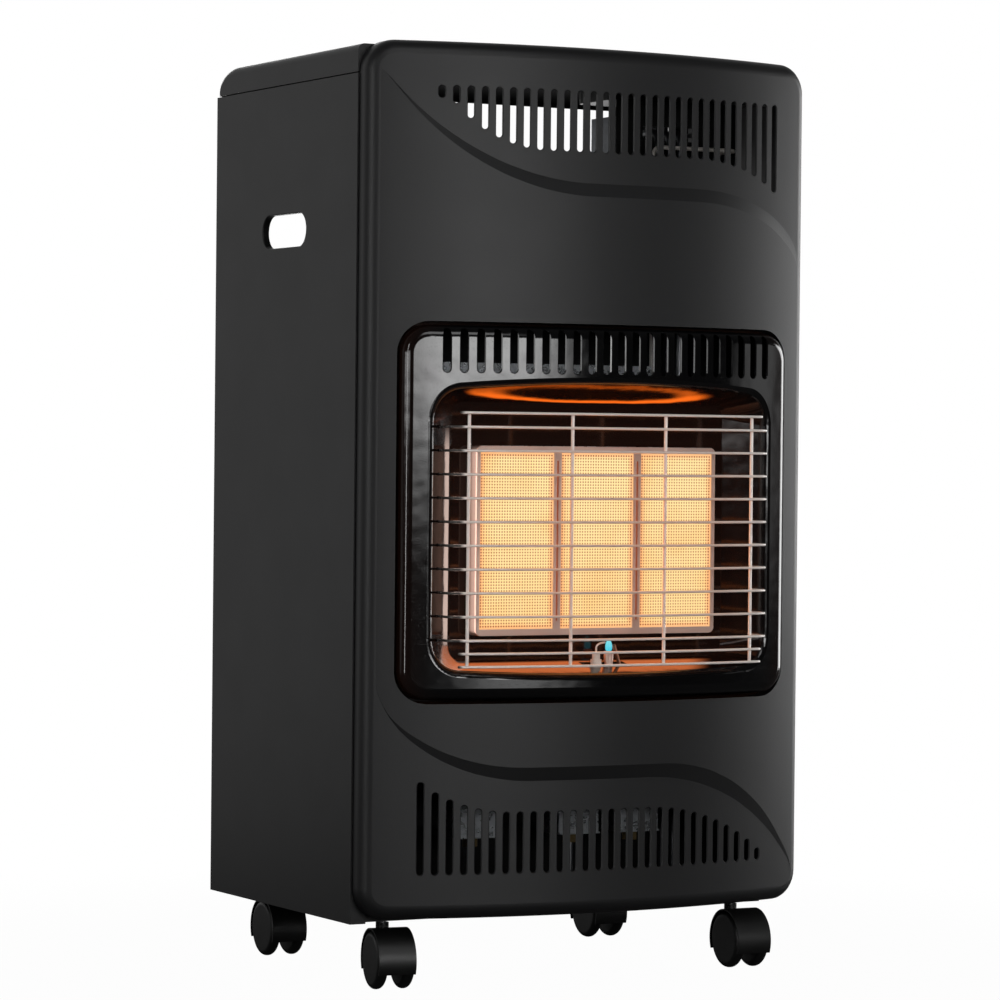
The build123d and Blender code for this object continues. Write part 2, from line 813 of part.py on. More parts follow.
def make_valve_bracket():
    """Upright plate on the bulkhead, with a shelf under the valve and a window for its pipes."""
    rear = back(bulkhead_depth_in)
    right = half_width - flange - sheet
    top = side_top - sheet - fit_gap
    bracket = block((bracket_left, right), (rear - sheet, rear), (bulkhead_top - bracket_lap, top))
    valve_span = (knob_x - valve_width / 2, knob_x + valve_width / 2)
    bracket += block(valve_span, (rear - sheet, valve_front_y + valve_depth), (valve_bottom - sheet, valve_bottom))
    window_x = (outlet_places()[0] - pipe_window_margin, outlet_places()[-1] + pipe_window_margin)
    window_z = (valve_mid_z - pipe_window_margin, valve_mid_z + pipe_window_margin)
    bracket -= block(window_x, (rear - 2 * sheet, rear + 1), window_z)
    return bracket - rod((igniter_x, rear - 2 * sheet, ignition_level), (0, 1, 0), lead_radius + 1, 3 * sheet)


# ---------------------------------------------------------------- fire surround
def cavity_outline(depth_in, grow):
    """Outline of the funnel-shaped fire cavity at this depth."""
    half = cavity_rim_half_width - cavity_side_slope * (depth_in - cavity_rim_depth)
    half += grow * math.hypot(1, cavity_side_slope)
    top = cavity_top - cavity_top_slope * (depth_in + surround_proud) + grow * math.hypot(1, cavity_top_slope)
    low = cavity_bottom + cavity_bottom_slope * (depth_in + surround_proud)
    low -= grow * math.hypot(1, cavity_bottom_slope)
    corner = cavity_rim_corner - cavity_corner_slope * (depth_in - cavity_rim_depth) + grow
    return facing_front(back(depth_in)) * rounded_outline(half, (low, top), corner)


def surround_form(inset):
    """Bowed block with the cavity through it, and both front edges rolled."""
    reach = cavity_depth + (2 if inset else 0)
    z_span = (surround_low + inset, surround_high - inset)
    form = bowed_block(
        surround_half - inset, z_span, surround_corner - inset, surround_apex + inset, surround_radius - inset, back(reach)
    )
    form = rolled_edge(form, surround_roll - inset)
    ahead = -surround_proud - 4
    form -= loft([cavity_outline(ahead, inset), cavity_outline(reach + 1, inset)], ruled=True)
    face = form.faces().filter_by(GeomType.CYLINDER).sort_by(SortBy.AREA)[-1]
    return fillet(face.inner_wires()[0].edges(), cavity_rim_roll - inset)


def long_bar_levels():
    """Heights of the guard bars that reach into the cavity walls."""
    return [lowest_long_bar + bar_pitch * i for i in range(long_bar_count)]


def short_bar_levels():
    """Heights of the short bars below and above the long ones."""
    below = [lowest_long_bar - short_bar_drop * (i + 1) for i in range(short_bar_count)]
    return below + [long_bar_levels()[-1] + top_bar_rise]


def pilot_block(margin, z_span):
    """Block round the pilot group, for its plate and its window."""
    y = back(pilot_depth_in)
    reach = pilot_plate_half_depth + margin
    return block((pilot_plate_low - margin, pilot_plate_high + margin), (y - reach, y + reach), z_span)


def make_fire_surround():
    """Enamelled surround: bowed frame with vents and the funnel round the burner."""
    surround = surround_form(0) - surround_form(sheet)
    outer = rounded_outline(
        surround_half + surround_flange,
        (surround_low - surround_flange, surround_high + surround_flange),
        surround_corner + surround_flange,
    )
    inner = rounded_outline(surround_half - sheet, (surround_low + sheet, surround_high - sheet), surround_corner - sheet)
    surround += prism(outer - inner, cavity_back_y, cavity_back_y + sheet)
    vent_span = (vent_bottom, vent_bottom + vent_height)
    vent_places = [(i - (vent_count - 1) / 2) * vent_pitch + vent_shift for i in range(vent_count)]
    surround -= [drawn_slot(x, vent_span, vent_width, surround_apex, surround_radius, 6 * sheet) for x in vent_places]
    for z in long_bar_levels():
        for side in (-1, 1):
            surround -= rod((side * long_bar_half, front_y, z), (0, 1, 0), bar_hole_radius, cavity_depth - 1)
    window_low = cavity_bottom - cavity_rim_roll
    return surround - pilot_block(-pilot_window_margin, (window_low, window_low + pilot_window_height))


def make_reflector_plate():
    """Back wall of the cavity, with a window for the burner."""
    half = cavity_rim_half_width - cavity_side_slope * (cavity_depth - cavity_rim_depth) + reflector_overlap
    top = cavity_top - cavity_top_slope * (cavity_depth + surround_proud) + reflector_overlap
    low = cavity_bottom + cavity_bottom_slope * (cavity_depth + surround_proud) - reflector_overlap
    plate = block((-half, half), (cavity_back_y, cavity_back_y + reflector_sheet), (low, top))
    grow = fit_gap
    window = rounded_outline(
        burner_width / 2 + grow, (burner_bottom - grow, burner_bottom + burner_height + grow), burner_corner + grow
    )
    return plate - prism(window, cavity_back_y - 1, cavity_back_y + reflector_sheet + 1)


# ---------------------------------------------------------------- wire guard
bar_apex = front_y - guard_proud + bar_radius
upright_apex = bar_apex + bar_radius + upright_radius - weld_sink


def bar_y(x):
    """Y of a guard bar's centre line at this X."""
    return bow_y(x, bar_apex, guard_bow_radius)


def wall_y(x):
    """Y of the cavity's side wall at this distance from the middle."""
    return back(cavity_rim_depth) + (cavity_rim_half_width - x) / cavity_side_slope


def make_long_bar(z):
    """Bowed bar with both ends bent back through the cavity walls."""
    end = long_bar_half
    rear = wall_y(end) + bar_through
    crown = ThreePointArc((-end, bar_y(end), z), (0, bar_apex, z), (end, bar_y(end), z))
    left = Line((-end, rear, z), (-end, bar_y(end), z))
    right = Line((end, bar_y(end), z), (end, rear, z))
    path = Wire([left.edge(), crown.edge(), right.edge()])
    corners = path.vertices().sort_by(Axis.Y)[:2]
    path = path.fillet_2d(bar_bend, corners)
    start = Plane(origin=path @ 0, z_dir=path % 0)
    return sweep(start * Circle(bar_radius), path=path)


def make_short_bar(z):
    """Bowed bar with plain ends."""
    end = short_bar_half
    path = ThreePointArc((-end, bar_y(end), z), (0, bar_apex, z), (end, bar_y(end), z))
    return sweep(Plane(origin=path @ 0, z_dir=path % 0) * Circle(bar_radius), path=path)


def make_guard_bars():
    """All bars that cross the fire, one above another."""
    bars = [make_long_bar(z) for z in long_bar_levels()]
    bars += [make_short_bar(z) for z in short_bar_levels()]
    return Compound(children=bars)


def make_guard_uprights():
    """Upright wires that the bars are welded to."""
    levels = long_bar_levels() + short_bar_levels()
    low = min(levels) - bar_radius
    height = max(levels) + bar_radius - low
    radius = guard_bow_radius + bar_apex - upright_apex
    uprights = [rod((x, bow_y(x, upright_apex, radius), low), (0, 0, 1), upright_radius, height) for x in upright_places]
    return Compound(children=uprights)


# ---------------------------------------------------------------- burner
def plaque_places():
    """X of each plaque's middle, from left to right."""
    return [(i - (plaque_count - 1) / 2) * plaque_pitch for i in range(plaque_count)]


def venturi_places():
    """X of each venturi's middle, from left to right."""
    return [x + offset for x, offset in zip(plaque_places(), venturi_offsets)]


def make_burner_frame():
    """Steel frame with three windows, slits between them and a skirt."""
    outline = Pos(0, burner_mid_z) * RectangleRounded(burner_width, burner_height, burner_corner)
    hollow = Pos(0, burner_mid_z) * RectangleRounded(
        burner_width - 2 * sheet, burner_height - 2 * sheet, burner_corner - sheet
    )
    frame = prism(outline, burner_y, burner_y + burner_frame_depth)
    frame -= prism(hollow, burner_y + sheet, burner_y + burner_frame_depth + 1)
    windows = Sketch()
    for x in plaque_places():
        windows += Pos(x, burner_mid_z) * Rectangle(plaque_window_width, plaque_window_height)
    for left, right in zip(plaque_places()[:-1], plaque_places()[1:]):
        windows += Pos((left + right) / 2, burner_mid_z) * Rectangle(slit_width, slit_height)
    return frame - prism(windows, burner_y - 1, burner_y + 2 * sheet)


def make_plaque(x):
    """Perforated ceramic plaque, a plain slab here."""
    half = plaque_window_width / 2 + plaque_lap
    tall = plaque_window_height / 2 + plaque_lap
    y_span = (burner_y + sheet, plaque_back_y)
    return block((x - half, x + half), y_span, (burner_mid_z - tall, burner_mid_z + tall))


def make_burner_box(x, tube_x):
    """Mixing box behind one plaque, with its venturi tube and flared mouth."""
    half = plaque_window_width / 2 + plaque_lap
    tall = plaque_window_height / 2 + plaque_lap
    low = burner_mid_z - tall
    y = back(venturi_depth_in)
    box = block((x - half, x + half), (plaque_back_y, plenum_back_y), (low, burner_mid_z + tall))
    inner = (x - half + sheet, x + half - sheet)
    box -= block(inner, (plaque_back_y - 1, plenum_back_y - sheet), (low + sheet, burner_mid_z + tall - sheet))
    box += rod((tube_x, y, venturi_bottom), (0, 0, 1), venturi_radius, low + sheet - venturi_bottom)
    mouth_top = venturi_bottom + venturi_mouth_height
    flare = [
        Plane.XY.offset(venturi_bottom) * Pos(tube_x, y) * Circle(venturi_mouth_radius),
        Plane.XY.offset(mouth_top) * Pos(tube_x, y) * Circle(venturi_radius),
    ]
    box += loft(flare)
    box -= rod((tube_x, y, venturi_bottom - 1), (0, 0, 1), venturi_radius - sheet, low + 2 * sheet - venturi_bottom)
    throat = [
        Plane.XY.offset(venturi_bottom) * Pos(tube_x, y) * Circle(venturi_mouth_radius - sheet),
        Plane.XY.offset(mouth_top) * Pos(tube_x, y) * Circle(venturi_radius - sheet),
    ]
    return box - loft(throat)


def make_injector_holders():
    """Bright cradles that hang the injectors under the venturi mouths."""
    holders = []
    y = back(venturi_depth_in)
    front = y - holder_depth / 2
    rear = y + holder_depth / 2
    for x in venturi_places():
        half = holder_width / 2
        holder = block((x - half, x + half), (front, rear), (holder_bottom, venturi_bottom))
        inner = (x - half + sheet, x + half - sheet)
        holder -= block(inner, (front + sheet, rear + 1), (holder_bottom + sheet, venturi_bottom + 1))
        holder += block((x - half, x + half), (front - holder_lip, front + 1), (holder_bottom, holder_bottom + sheet))
        holders.append(holder - rod((x, y, holder_bottom - 1), (0, 0, 1), injector_radius + fit_gap, sheet + 2))
    return Compound(children=holders)


def make_burner_rail():
    """Rail from side to side that the injector cradles are fixed to."""
    front = back(venturi_depth_in) + holder_depth / 2
    half = half_width - sheet
    z_span = (venturi_bottom - rail_height, venturi_bottom)
    rail = block((-half, half), (front, front + sheet), z_span)
    for side in (-1, 1):
        edge = sorted((side * half, side * (half - sheet)))
        rail += block(edge, (front, front + rail_flange), z_span)
    return rail


def make_injectors():
    """Brass injectors, each with a hexagon against its holder."""
    injectors = []
    for x in venturi_places():
        y = back(venturi_depth_in)
        low = holder_bottom - injector_hex_height
        nose = rod((x, y, low), (0, 0, 1), injector_radius, injector_height)
        nose += hex_bar((x, y, low), (0, 0, 1), injector_hex, injector_hex_height)
        injectors.append(nose)
    return Compound(children=injectors)


# ---------------------------------------------------------------- pilot group
def make_pilot_plate():
    """Plate under the surround's window that carries the pilot group."""
    y = back(pilot_depth_in)
    plate = pilot_block(0, (pilot_bottom, pilot_bottom + sheet))
    plate += block(
        (pilot_plate_low, pilot_plate_high),
        (y + pilot_plate_half_depth - sheet, cavity_back_y + reflector_sheet + sheet),
        (pilot_bottom, pilot_bottom + sheet),
    )
    plate += block(
        (pilot_plate_low, pilot_plate_high),
        (cavity_back_y + reflector_sheet, cavity_back_y + reflector_sheet + sheet),
        (pilot_bottom, burner_bottom - 4),
    )
    for x, radius in ((pilot_x, pilot_radius), (electrode_x, electrode_radius), (thermocouple_x, thermocouple_radius)):
        plate -= rod((x, y, pilot_bottom - 1), (0, 0, 1), radius + running_clearance, sheet + 2)
    return plate


def make_pilot_burner():
    """Pilot tube with a hood at its tip."""
    base = (pilot_x, back(pilot_depth_in), pilot_foot)
    pilot = rod(base, (0, 0, 1), pilot_radius, pilot_height)
    hood_low = base[2] + pilot_height - pilot_hood_height
    return pilot + rod((base[0], base[1], hood_low), (0, 0, 1), pilot_hood_radius, pilot_hood_height)


def make_spark_electrode():
    """Stepped ceramic insulator with its wire tip."""
    base = (electrode_x, back(pilot_depth_in), pilot_foot)
    tall = electrode_height + electrode_tip_height
    electrode = rod(base, (0, 0, 1), electrode_radius, electrode_height)
    electrode += rod(base, (0, 0, 1), electrode_tip_radius, tall)
    return electrode + rod(base, (0, 0, 1), electrode_wire_radius, tall + electrode_wire_rise)


def make_thermocouple():
    """Thermocouple probe that leans to the pilot, with the lead that runs back to the valve."""
    y = back(pilot_depth_in)
    points = (
        (thermocouple_x, y, pilot_foot),
        (thermocouple_x, y, pilot_foot + thermocouple_straight),
        (thermocouple_x - thermocouple_lean, y, pilot_foot + thermocouple_height),
    )
    probe = tube_along(points, thermocouple_radius, thermocouple_bend)
    return probe + valve_lead(thermocouple_x, pilot_foot + 1, 0, thermocouple_lead_radius)


# ---------------------------------------------------------------- pipes and leads
def lead_start(tip_x, tip_z, order):
    """Points from a tip down, back under the surround's floor and over to the lead's lane."""
    pilot_y = back(pilot_depth_in)
    exit_y = back(lead_exit_depth_in)
    exit_z = pilot_foot - lead_exit_drop
    level = highest_lead_level - lead_step * order
    points = [(tip_x, pilot_y, tip_z), (tip_x, pilot_y, exit_z), (tip_x, exit_y, exit_z), (tip_x, exit_y, level)]
    if order > 0:
        points.append((thermocouple_x + lead_step * order, exit_y, level))
    return points


def lead_tube(start, rest, radius):
    """Tube along a lead's start and the rest of its points, with tighter bends at the start."""
    points = start + rest
    bends = [lead_exit_bend if i < 3 else lead_bend for i in range(len(points) - 2)]
    return tube_along(points, radius, bends)


def valve_lead(tip_x, tip_z, order, radius):
    """Tube from the pilot group back and up to the front of the valve."""
    start = lead_start(tip_x, tip_z, order)
    lane_x, _, level = start[-1]
    run_y = back(lead_run_depth_in)
    valve_x = outlet_places()[plaque_count + order]
    rest = [
        (lane_x, run_y, level),
        (valve_x, run_y, level),
        (valve_x, run_y, valve_mid_z),
        (valve_x, valve_front_y - outlet_length, valve_mid_z),
    ]
    return lead_tube(start, rest, radius)


def make_pilot_pipe():
    """Thin pipe from the valve to the pilot burner."""
    return valve_lead(pilot_x, pilot_foot, 1, pilot_pipe_radius)


def make_ignition_lead():
    """Insulated lead from the igniter to the spark electrode."""
    start = lead_start(electrode_x, pilot_foot, 2)
    lane_x, _, level = start[-1]
    run_y = back(ignition_run_depth_in)
    rest = [
        (lane_x, run_y, level),
        (ignition_rise_x, run_y, level),
        (ignition_rise_x, run_y, ignition_level),
        (igniter_x, run_y, ignition_level),
        (igniter_x, control_y, ignition_level),
        (igniter_x, control_y, igniter_foot),
    ]
    return lead_tube(start, rest, lead_radius)


def make_gas_pipe(i):
    """Pipe from one valve outlet down to one injector, the right-hand one first."""
    valve_x = outlet_places()[i]
    injector_x = venturi_places()[plaque_count - 1 - i]
    level = lowest_pipe + pipe_level_step * (plaque_count - 1 - i)
    run_y = back(pipe_run_depth_in)
    injector_y = back(venturi_depth_in)
    points = (
        (valve_x, valve_front_y - outlet_length, valve_mid_z),
        (valve_x, run_y, valve_mid_z),
        (valve_x, run_y, level),
        (injector_x, run_y, level),
        (injector_x, injector_y, level),
        (injector_x, injector_y, holder_bottom - injector_hex_height),
    )
    return tube_along(points, gas_pipe_radius, pipe_bend)


# ---------------------------------------------------------------- castors
def wheel(side):
    """One wheel with a rounded tread and a blind bore, its axis along X."""
    inner = side * wheel_inner
    blank = rod((inner, 0, 0), (side, 0, 0), wheel_radius, wheel_width)
    blank = fillet(blank.edges(), wheel_round)
    bore = rod((inner - side, 0, 0), (side, 0, 0), axle_radius + running_clearance, wheel_width - wheel_cap + 1)
    return blank - bore


def hood():
    """Hood over both wheels, with the web that holds the axle and the stem's boss."""
    outer = wheel_radius + wheel_top_gap + hood_wall
    centre = (0, -castor_trail, wheel_axis_z)
    left = (-hood_half_width, centre[1], centre[2])
    shell = rod(left, (1, 0, 0), outer, 2 * hood_half_width) - rod(left, (1, 0, 0), outer - hood_wall, 2 * hood_half_width)
    above = (-2 * outer, 2 * outer)
    shell &= block(above, (-3 * outer, 3 * outer), (hood_skirt, boss_top + outer))
    web = rod((-web_width / 2, centre[1], centre[2]), (1, 0, 0), outer - hood_wall / 2, web_width)
    web &= block(above, (-3 * outer, 3 * outer), (web_lift, boss_top + outer))
    body = shell + web
    body += rod((0, 0, boss_top), (0, 0, -1), boss_radius, boss_top - wheel_axis_z)
    body -= rod((0, 0, boss_top + 1), (0, 0, -1), stem_radius + running_clearance, stem_depth + thrust_gap + 1)
    return body - rod((-web_width, *centre[1:]), (1, 0, 0), axle_radius + running_clearance, 2 * web_width)


def stem():
    """Steel stem with the shoulder that the tray stands on."""
    low = boss_top - stem_depth
    shaft = rod((0, 0, low), (0, 0, 1), stem_radius, tray_high + stem_top_length - low)
    return shaft + rod((0, 0, tray_low - stem_shoulder_height), (0, 0, 1), stem_shoulder_radius, stem_shoulder_height)


def make_castor(name, x, y):
    """The four nodes of one castor, turned to its own rest angle."""
    place = Pos(x, y, 0) * Rot(0, 0, castor_angles[name])
    axis = Pos(0, -castor_trail, wheel_axis_z)
    prefix = "castor_" + name
    return {
        prefix + "_stem": place * stem(),
        prefix + "_hood": place * hood(),
        prefix + "_axle": place * axis * rod((-axle_half_length, 0, 0), (1, 0, 0), axle_radius, 2 * axle_half_length),
        prefix + "_wheels": place * axis * Compound(children=[wheel(-1), wheel(1)]),
    }


# ---------------------------------------------------------------- fasteners
def screw(start, direction, grip):
    """Round-headed screw whose head sits on the start point."""
    back_way = tuple(-part for part in direction)
    shaft = rod(start, direction, screw_radius, grip)
    return shaft + rod(start, back_way, screw_head_radius, screw_head_height)


def make_panel_screws():
    """Screws from inside the side panels into the front panel."""
    head_y = side_front_y + sheet
    return Compound(children=[screw((x, head_y, z), (0, -1, 0), screw_grip) for x, z in panel_screw_places()])


def make_cover_screws():
    """Screws up through the side panels into the cover."""
    head_z = side_top - sheet
    return Compound(children=[screw((x, y, head_z), (0, 0, 1), screw_grip) for x, y in cover_screw_places()])


def make_tray_screws():
    """Screws down through the tray into the side panels."""
    return Compound(children=[screw((x, y, tray_high), (0, 0, -1), tray_screw_grip) for x, y in tray_screw_places()])


def make_castor_nuts():
    """Nuts that hold the castor stems in the tray."""
    nuts = []
    for x, y in castor_places().values():
        nut = hex_bar((x, y, tray_high), (0, 0, 1), nut_across_flats, nut_height)
        nuts.append(nut - rod((x, y, tray_high - 1), (0, 0, 1), stem_radius + thread_clearance, nut_height + 2))
    return Compound(children=nuts)


# ---------------------------------------------------------------- all nodes
def make_all():
    """Every node by name."""
    side_panel = make_side_panel()
    nodes = {
        "front_panel": make_front_panel(),
        "side_panel_right": side_panel - right_corner_cut(),
        "side_panel_left": mirrored(side_panel),
        "top_cover": make_top_cover(),
        "base_tray": make_base_tray(),
        "bulkhead": make_bulkhead(),
        "heat_shield": make_heat_shield(),
        "valve_bracket": make_valve_bracket(),
        "fire_surround": make_fire_surround(),
        "reflector_plate": make_reflector_plate(),
        "guard_bars": make_guard_bars(),
        "guard_uprights": make_guard_uprights(),
        "burner_frame": make_burner_frame(),
        "injector_holders": make_injector_holders(),
        "injectors": make_injectors(),
        "burner_rail": make_burner_rail(),
        "pilot_plate": make_pilot_plate(),
        "pilot_burner": make_pilot_burner(),
        "spark_electrode": make_spark_electrode(),
        "thermocouple": make_thermocouple(),
        "pilot_pipe": make_pilot_pipe(),
        "ignition_lead": make_ignition_lead(),
        "control_panel": make_control_panel(),
        "gas_valve": make_gas_valve(),
        "valve_plunger": make_valve_plunger(),
        "valve_spindle": make_valve_spindle(),
        "control_knob": make_control_knob(),
        "gas_inlet": make_gas_inlet(),
        "igniter_body": make_igniter_body(),
        "igniter_button": make_igniter_button(),
        "panel_screws": make_panel_screws(),
        "cover_screws": make_cover_screws(),
        "tray_screws": make_tray_screws(),
        "castor_nuts": make_castor_nuts(),
    }
    for side, x, tube_x in zip(("left", "middle", "right"), plaque_places(), venturi_places()):
        nodes["plaque_" + side] = make_plaque(x)
        nodes["burner_box_" + side] = make_burner_box(x, tube_x)
    for i, side in enumerate(("right", "middle", "left")):
        nodes["gas_pipe_" + side] = make_gas_pipe(i)
    for name, (x, y) in castor_places().items():
        nodes.update(make_castor(name, x, y))
    return nodes


os.makedirs("parts", exist_ok=True)
for node, shape in make_all().items():
    export_step(shape, "parts/" + node + ".step")
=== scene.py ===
"""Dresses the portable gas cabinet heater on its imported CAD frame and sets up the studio."""

from __future__ import annotations

import json
import logging
import math
from dataclasses import dataclass
from enum import Enum
from typing import Any, ClassVar, Iterable, Sequence, Union

import bmesh
import bpy
from mathutils import Matrix, Vector

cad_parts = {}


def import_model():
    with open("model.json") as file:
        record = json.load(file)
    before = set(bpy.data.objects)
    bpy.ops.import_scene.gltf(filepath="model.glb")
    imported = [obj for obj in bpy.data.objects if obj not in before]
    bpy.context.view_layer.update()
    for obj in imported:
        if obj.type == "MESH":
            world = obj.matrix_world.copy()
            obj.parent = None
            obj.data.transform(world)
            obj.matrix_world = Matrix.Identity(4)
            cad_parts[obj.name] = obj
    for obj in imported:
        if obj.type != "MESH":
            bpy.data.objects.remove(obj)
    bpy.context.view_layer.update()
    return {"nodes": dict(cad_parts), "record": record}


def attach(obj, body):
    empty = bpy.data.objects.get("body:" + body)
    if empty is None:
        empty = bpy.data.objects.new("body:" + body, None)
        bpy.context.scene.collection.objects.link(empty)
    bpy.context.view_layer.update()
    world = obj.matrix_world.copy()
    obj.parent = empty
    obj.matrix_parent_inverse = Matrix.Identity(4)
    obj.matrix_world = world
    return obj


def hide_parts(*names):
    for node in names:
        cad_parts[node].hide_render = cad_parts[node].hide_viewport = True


log = logging.getLogger("heater")

MM = 0.001
Point = tuple[float, float, float]
Colour = tuple[float, float, float]
Range = tuple[float, float]
Number = Union[float, "Value"]

WHITE: Colour = (1.0, 1.0, 1.0)
BLACK: Colour = (0.0, 0.0, 0.0)
NOISE_MIDDLE = 0.5
BEYOND = 1.0  # metres; no part of the heater lies this far back


def srgb(red: int, green: int, blue: int) -> Colour:
    """Linear colour of an 8-bit display colour.

    Args:
        red: Red from 0 to 255.
        green: Green from 0 to 255.
        blue: Blue from 0 to 255.

    Returns:
        The same colour in linear light.
    """
    def linear(channel: int) -> float:
        """Linear light of one channel."""
        share = channel / 255
        return share / 12.92 if share <= 0.04045 else ((share + 0.055) / 1.055) ** 2.4

    return linear(red), linear(green), linear(blue)


def scaled(colour: Colour, factor: float) -> Colour:
    """A colour made lighter or darker by a factor."""
    return tuple(channel * factor for channel in colour)


# ------------------------------------------------------------------ shader graphs
class Value:
    """An output socket that takes part in arithmetic."""

    def __init__(self, graph: Graph, socket: bpy.types.NodeSocket) -> None:
        """Keeps the socket and the graph it belongs to."""
        self.graph = graph
        self.socket = socket

    def __add__(self, other: Number) -> Value:
        """Sum."""
        return self.graph.math("ADD", self, other)

    def __radd__(self, other: Number) -> Value:
        """Sum, with the number first."""
        return self.graph.math("ADD", other, self)

    def __sub__(self, other: Number) -> Value:
        """Difference."""
        return self.graph.math("SUBTRACT", self, other)

    def __rsub__(self, other: Number) -> Value:
        """Difference, with the number first."""
        return self.graph.math("SUBTRACT", other, self)

    def __mul__(self, other: Number) -> Value:
        """Product."""
        return self.graph.math("MULTIPLY", self, other)

    def __rmul__(self, other: Number) -> Value:
        """Product, with the number first."""
        return self.graph.math("MULTIPLY", other, self)

    def __truediv__(self, other: Number) -> Value:
        """Quotient."""
        return self.graph.math("DIVIDE", self, other)

    def __rtruediv__(self, other: Number) -> Value:
        """Quotient, with the number first."""
        return self.graph.math("DIVIDE", other, self)

    def __pow__(self, other: Number) -> Value:
        """Power."""
        return self.graph.math("POWER", self, other)

    def __rpow__(self, other: Number) -> Value:
        """Power, with the number first."""
        return self.graph.math("POWER", other, self)

    def __abs__(self) -> Value:
        """Size without sign."""
        return self.graph.math("ABSOLUTE", self)

    def ramp(self, low: float, high: float) -> Value:
        """Smooth step from 0 at low to 1 at high."""
        settings = {"interpolation_type": "SMOOTHSTEP"}
        return self.graph.node("ShaderNodeMapRange", settings, {0: self, 1: low, 2: high})["Result"]


class Outputs:
    """The outputs of one node, by name or number."""

    def __init__(self, graph: Graph, node: bpy.types.Node) -> None:
        """Keeps the node and its graph."""
        self.graph = graph
        self.node = node

    def __getitem__(self, key: Union[str, int]) -> Value:
        """One output as a value."""
        return Value(self.graph, self.node.outputs[key])


class Graph:
    """A node tree that is written as expressions."""

    def __init__(self, tree: bpy.types.NodeTree) -> None:
        """Empties the tree and keeps it."""
        self.tree = tree
        tree.nodes.clear()

    def node(
        self, kind: str, settings: dict[str, Any], inputs: dict[Union[str, int], Any]
    ) -> Outputs:
        """Adds one node.

        Args:
            kind: The node's type name.
            settings: Properties to set first; "stops" are a ramp's positions and colours.
            inputs: Values or links for its sockets, by name or number.

        Returns:
            The node's outputs.
        """
        node = self.tree.nodes.new(kind)
        for name, setting in settings.items():
            if name == "stops":
                self._set_stops(node.color_ramp, setting)
            else:
                setattr(node, name, setting)
        for key, value in inputs.items():
            socket = node.inputs[key]
            if isinstance(value, Value):
                self.tree.links.new(value.socket, socket)
            elif isinstance(value, tuple) and len(value) == 3 and socket.type == "RGBA":
                socket.default_value = (*value, 1.0)
            else:
                socket.default_value = value
        return Outputs(self, node)

    @staticmethod
    def _set_stops(ramp: bpy.types.ColorRamp, stops: Sequence[tuple[float, Colour]]) -> None:
        """Gives a colour ramp its stops.

        Args:
            ramp: The ramp.
            stops: Position and colour of each stop, in order.
        """
        while len(ramp.elements) > 1:
            ramp.elements.remove(ramp.elements[-1])
        ramp.elements[0].position = stops[0][0]
        ramp.elements[0].color = (*stops[0][1], 1.0)
        for place, colour in stops[1:]:
            ramp.elements.new(place).color = (*colour, 1.0)

    def math(self, operation: str, *values: Number) -> Value:
        """One Math node on up to three values."""
        inputs = dict(enumerate(values))
        return self.node("ShaderNodeMath", {"operation": operation}, inputs)["Value"]

    def mix(self, share: Number, first: Any, second: Any) -> Value:
        """Colour between two colours, the first at a share of 0 and the second at 1."""
        inputs = {0: share, 6: first, 7: second}
        return self.node("ShaderNodeMix", {"data_type": "RGBA"}, inputs)[2]

    def vector(self, operation: str, *values: Any) -> Value:
        """One Vector Math node."""
        inputs = dict(enumerate(values))
        return self.node("ShaderNodeVectorMath", {"operation": operation}, inputs)[0]

    def place(self) -> Value:
        """Position on the object, in metres in the heater's frame."""
        return self.node("ShaderNodeTexCoord", {}, {})["Object"]

    def parts(self, vector: Value) -> tuple[Value, Value, Value]:
        """X, Y and Z of a vector."""
        split = self.node("ShaderNodeSeparateXYZ", {}, {0: vector})
        return split[0], split[1], split[2]

    def noise(self, scale: float, detail: float = 2.0, where: Value | None = None) -> Value:
        """Noise from 0 to 1 over the object.

        Args:
            scale: Features per metre.
            detail: How many finer layers it has.
            where: Position to read it at, or the object's own.

        Returns:
            The noise.
        """
        inputs = {"Vector": where or self.place(), "Scale": scale, "Detail": detail}
        return self.node("ShaderNodeTexNoise", {}, inputs)[0]

    def bump(self, height: Value, strength: float, distance: float) -> Value:
        """Normal from a height, where 1 stands for the distance in metres."""
        inputs = {"Strength": strength, "Distance": distance, "Height": height}
        return self.node("ShaderNodeBump", {}, inputs)[0]


def new_material(name: str) -> tuple[bpy.types.Material, Graph]:
    """Starts a node material.

    Args:
        name: Its name.

    Returns:
        The material and its empty graph.
    """
    material = bpy.data.materials.new(name)
    material.use_nodes = True
    return material, Graph(material.node_tree)


# ------------------------------------------------------------------ finishes
class Finish:
    """A surface finish that makes its material once."""

    made: ClassVar[dict[str, bpy.types.Material]] = {}
    name: str

    def material(self) -> bpy.types.Material:
        """Makes the material on first use.

        Returns:
            The material of this finish.
        """
        if self.name not in Finish.made:
            material, graph = new_material(self.name)
            graph.node("ShaderNodeOutputMaterial", {}, {"Surface": self.shade(graph)})
            Finish.made[self.name] = material
        return Finish.made[self.name]

    def shade(self, graph: Graph) -> Value:
        """The surface shader, which each finish makes in the given graph."""
        raise NotImplementedError

    @staticmethod
    def principled(graph: Graph, inputs: dict[str, Any]) -> Value:
        """A Principled shader with these inputs."""
        return graph.node("ShaderNodeBsdfPrincipled", {}, inputs)[0]


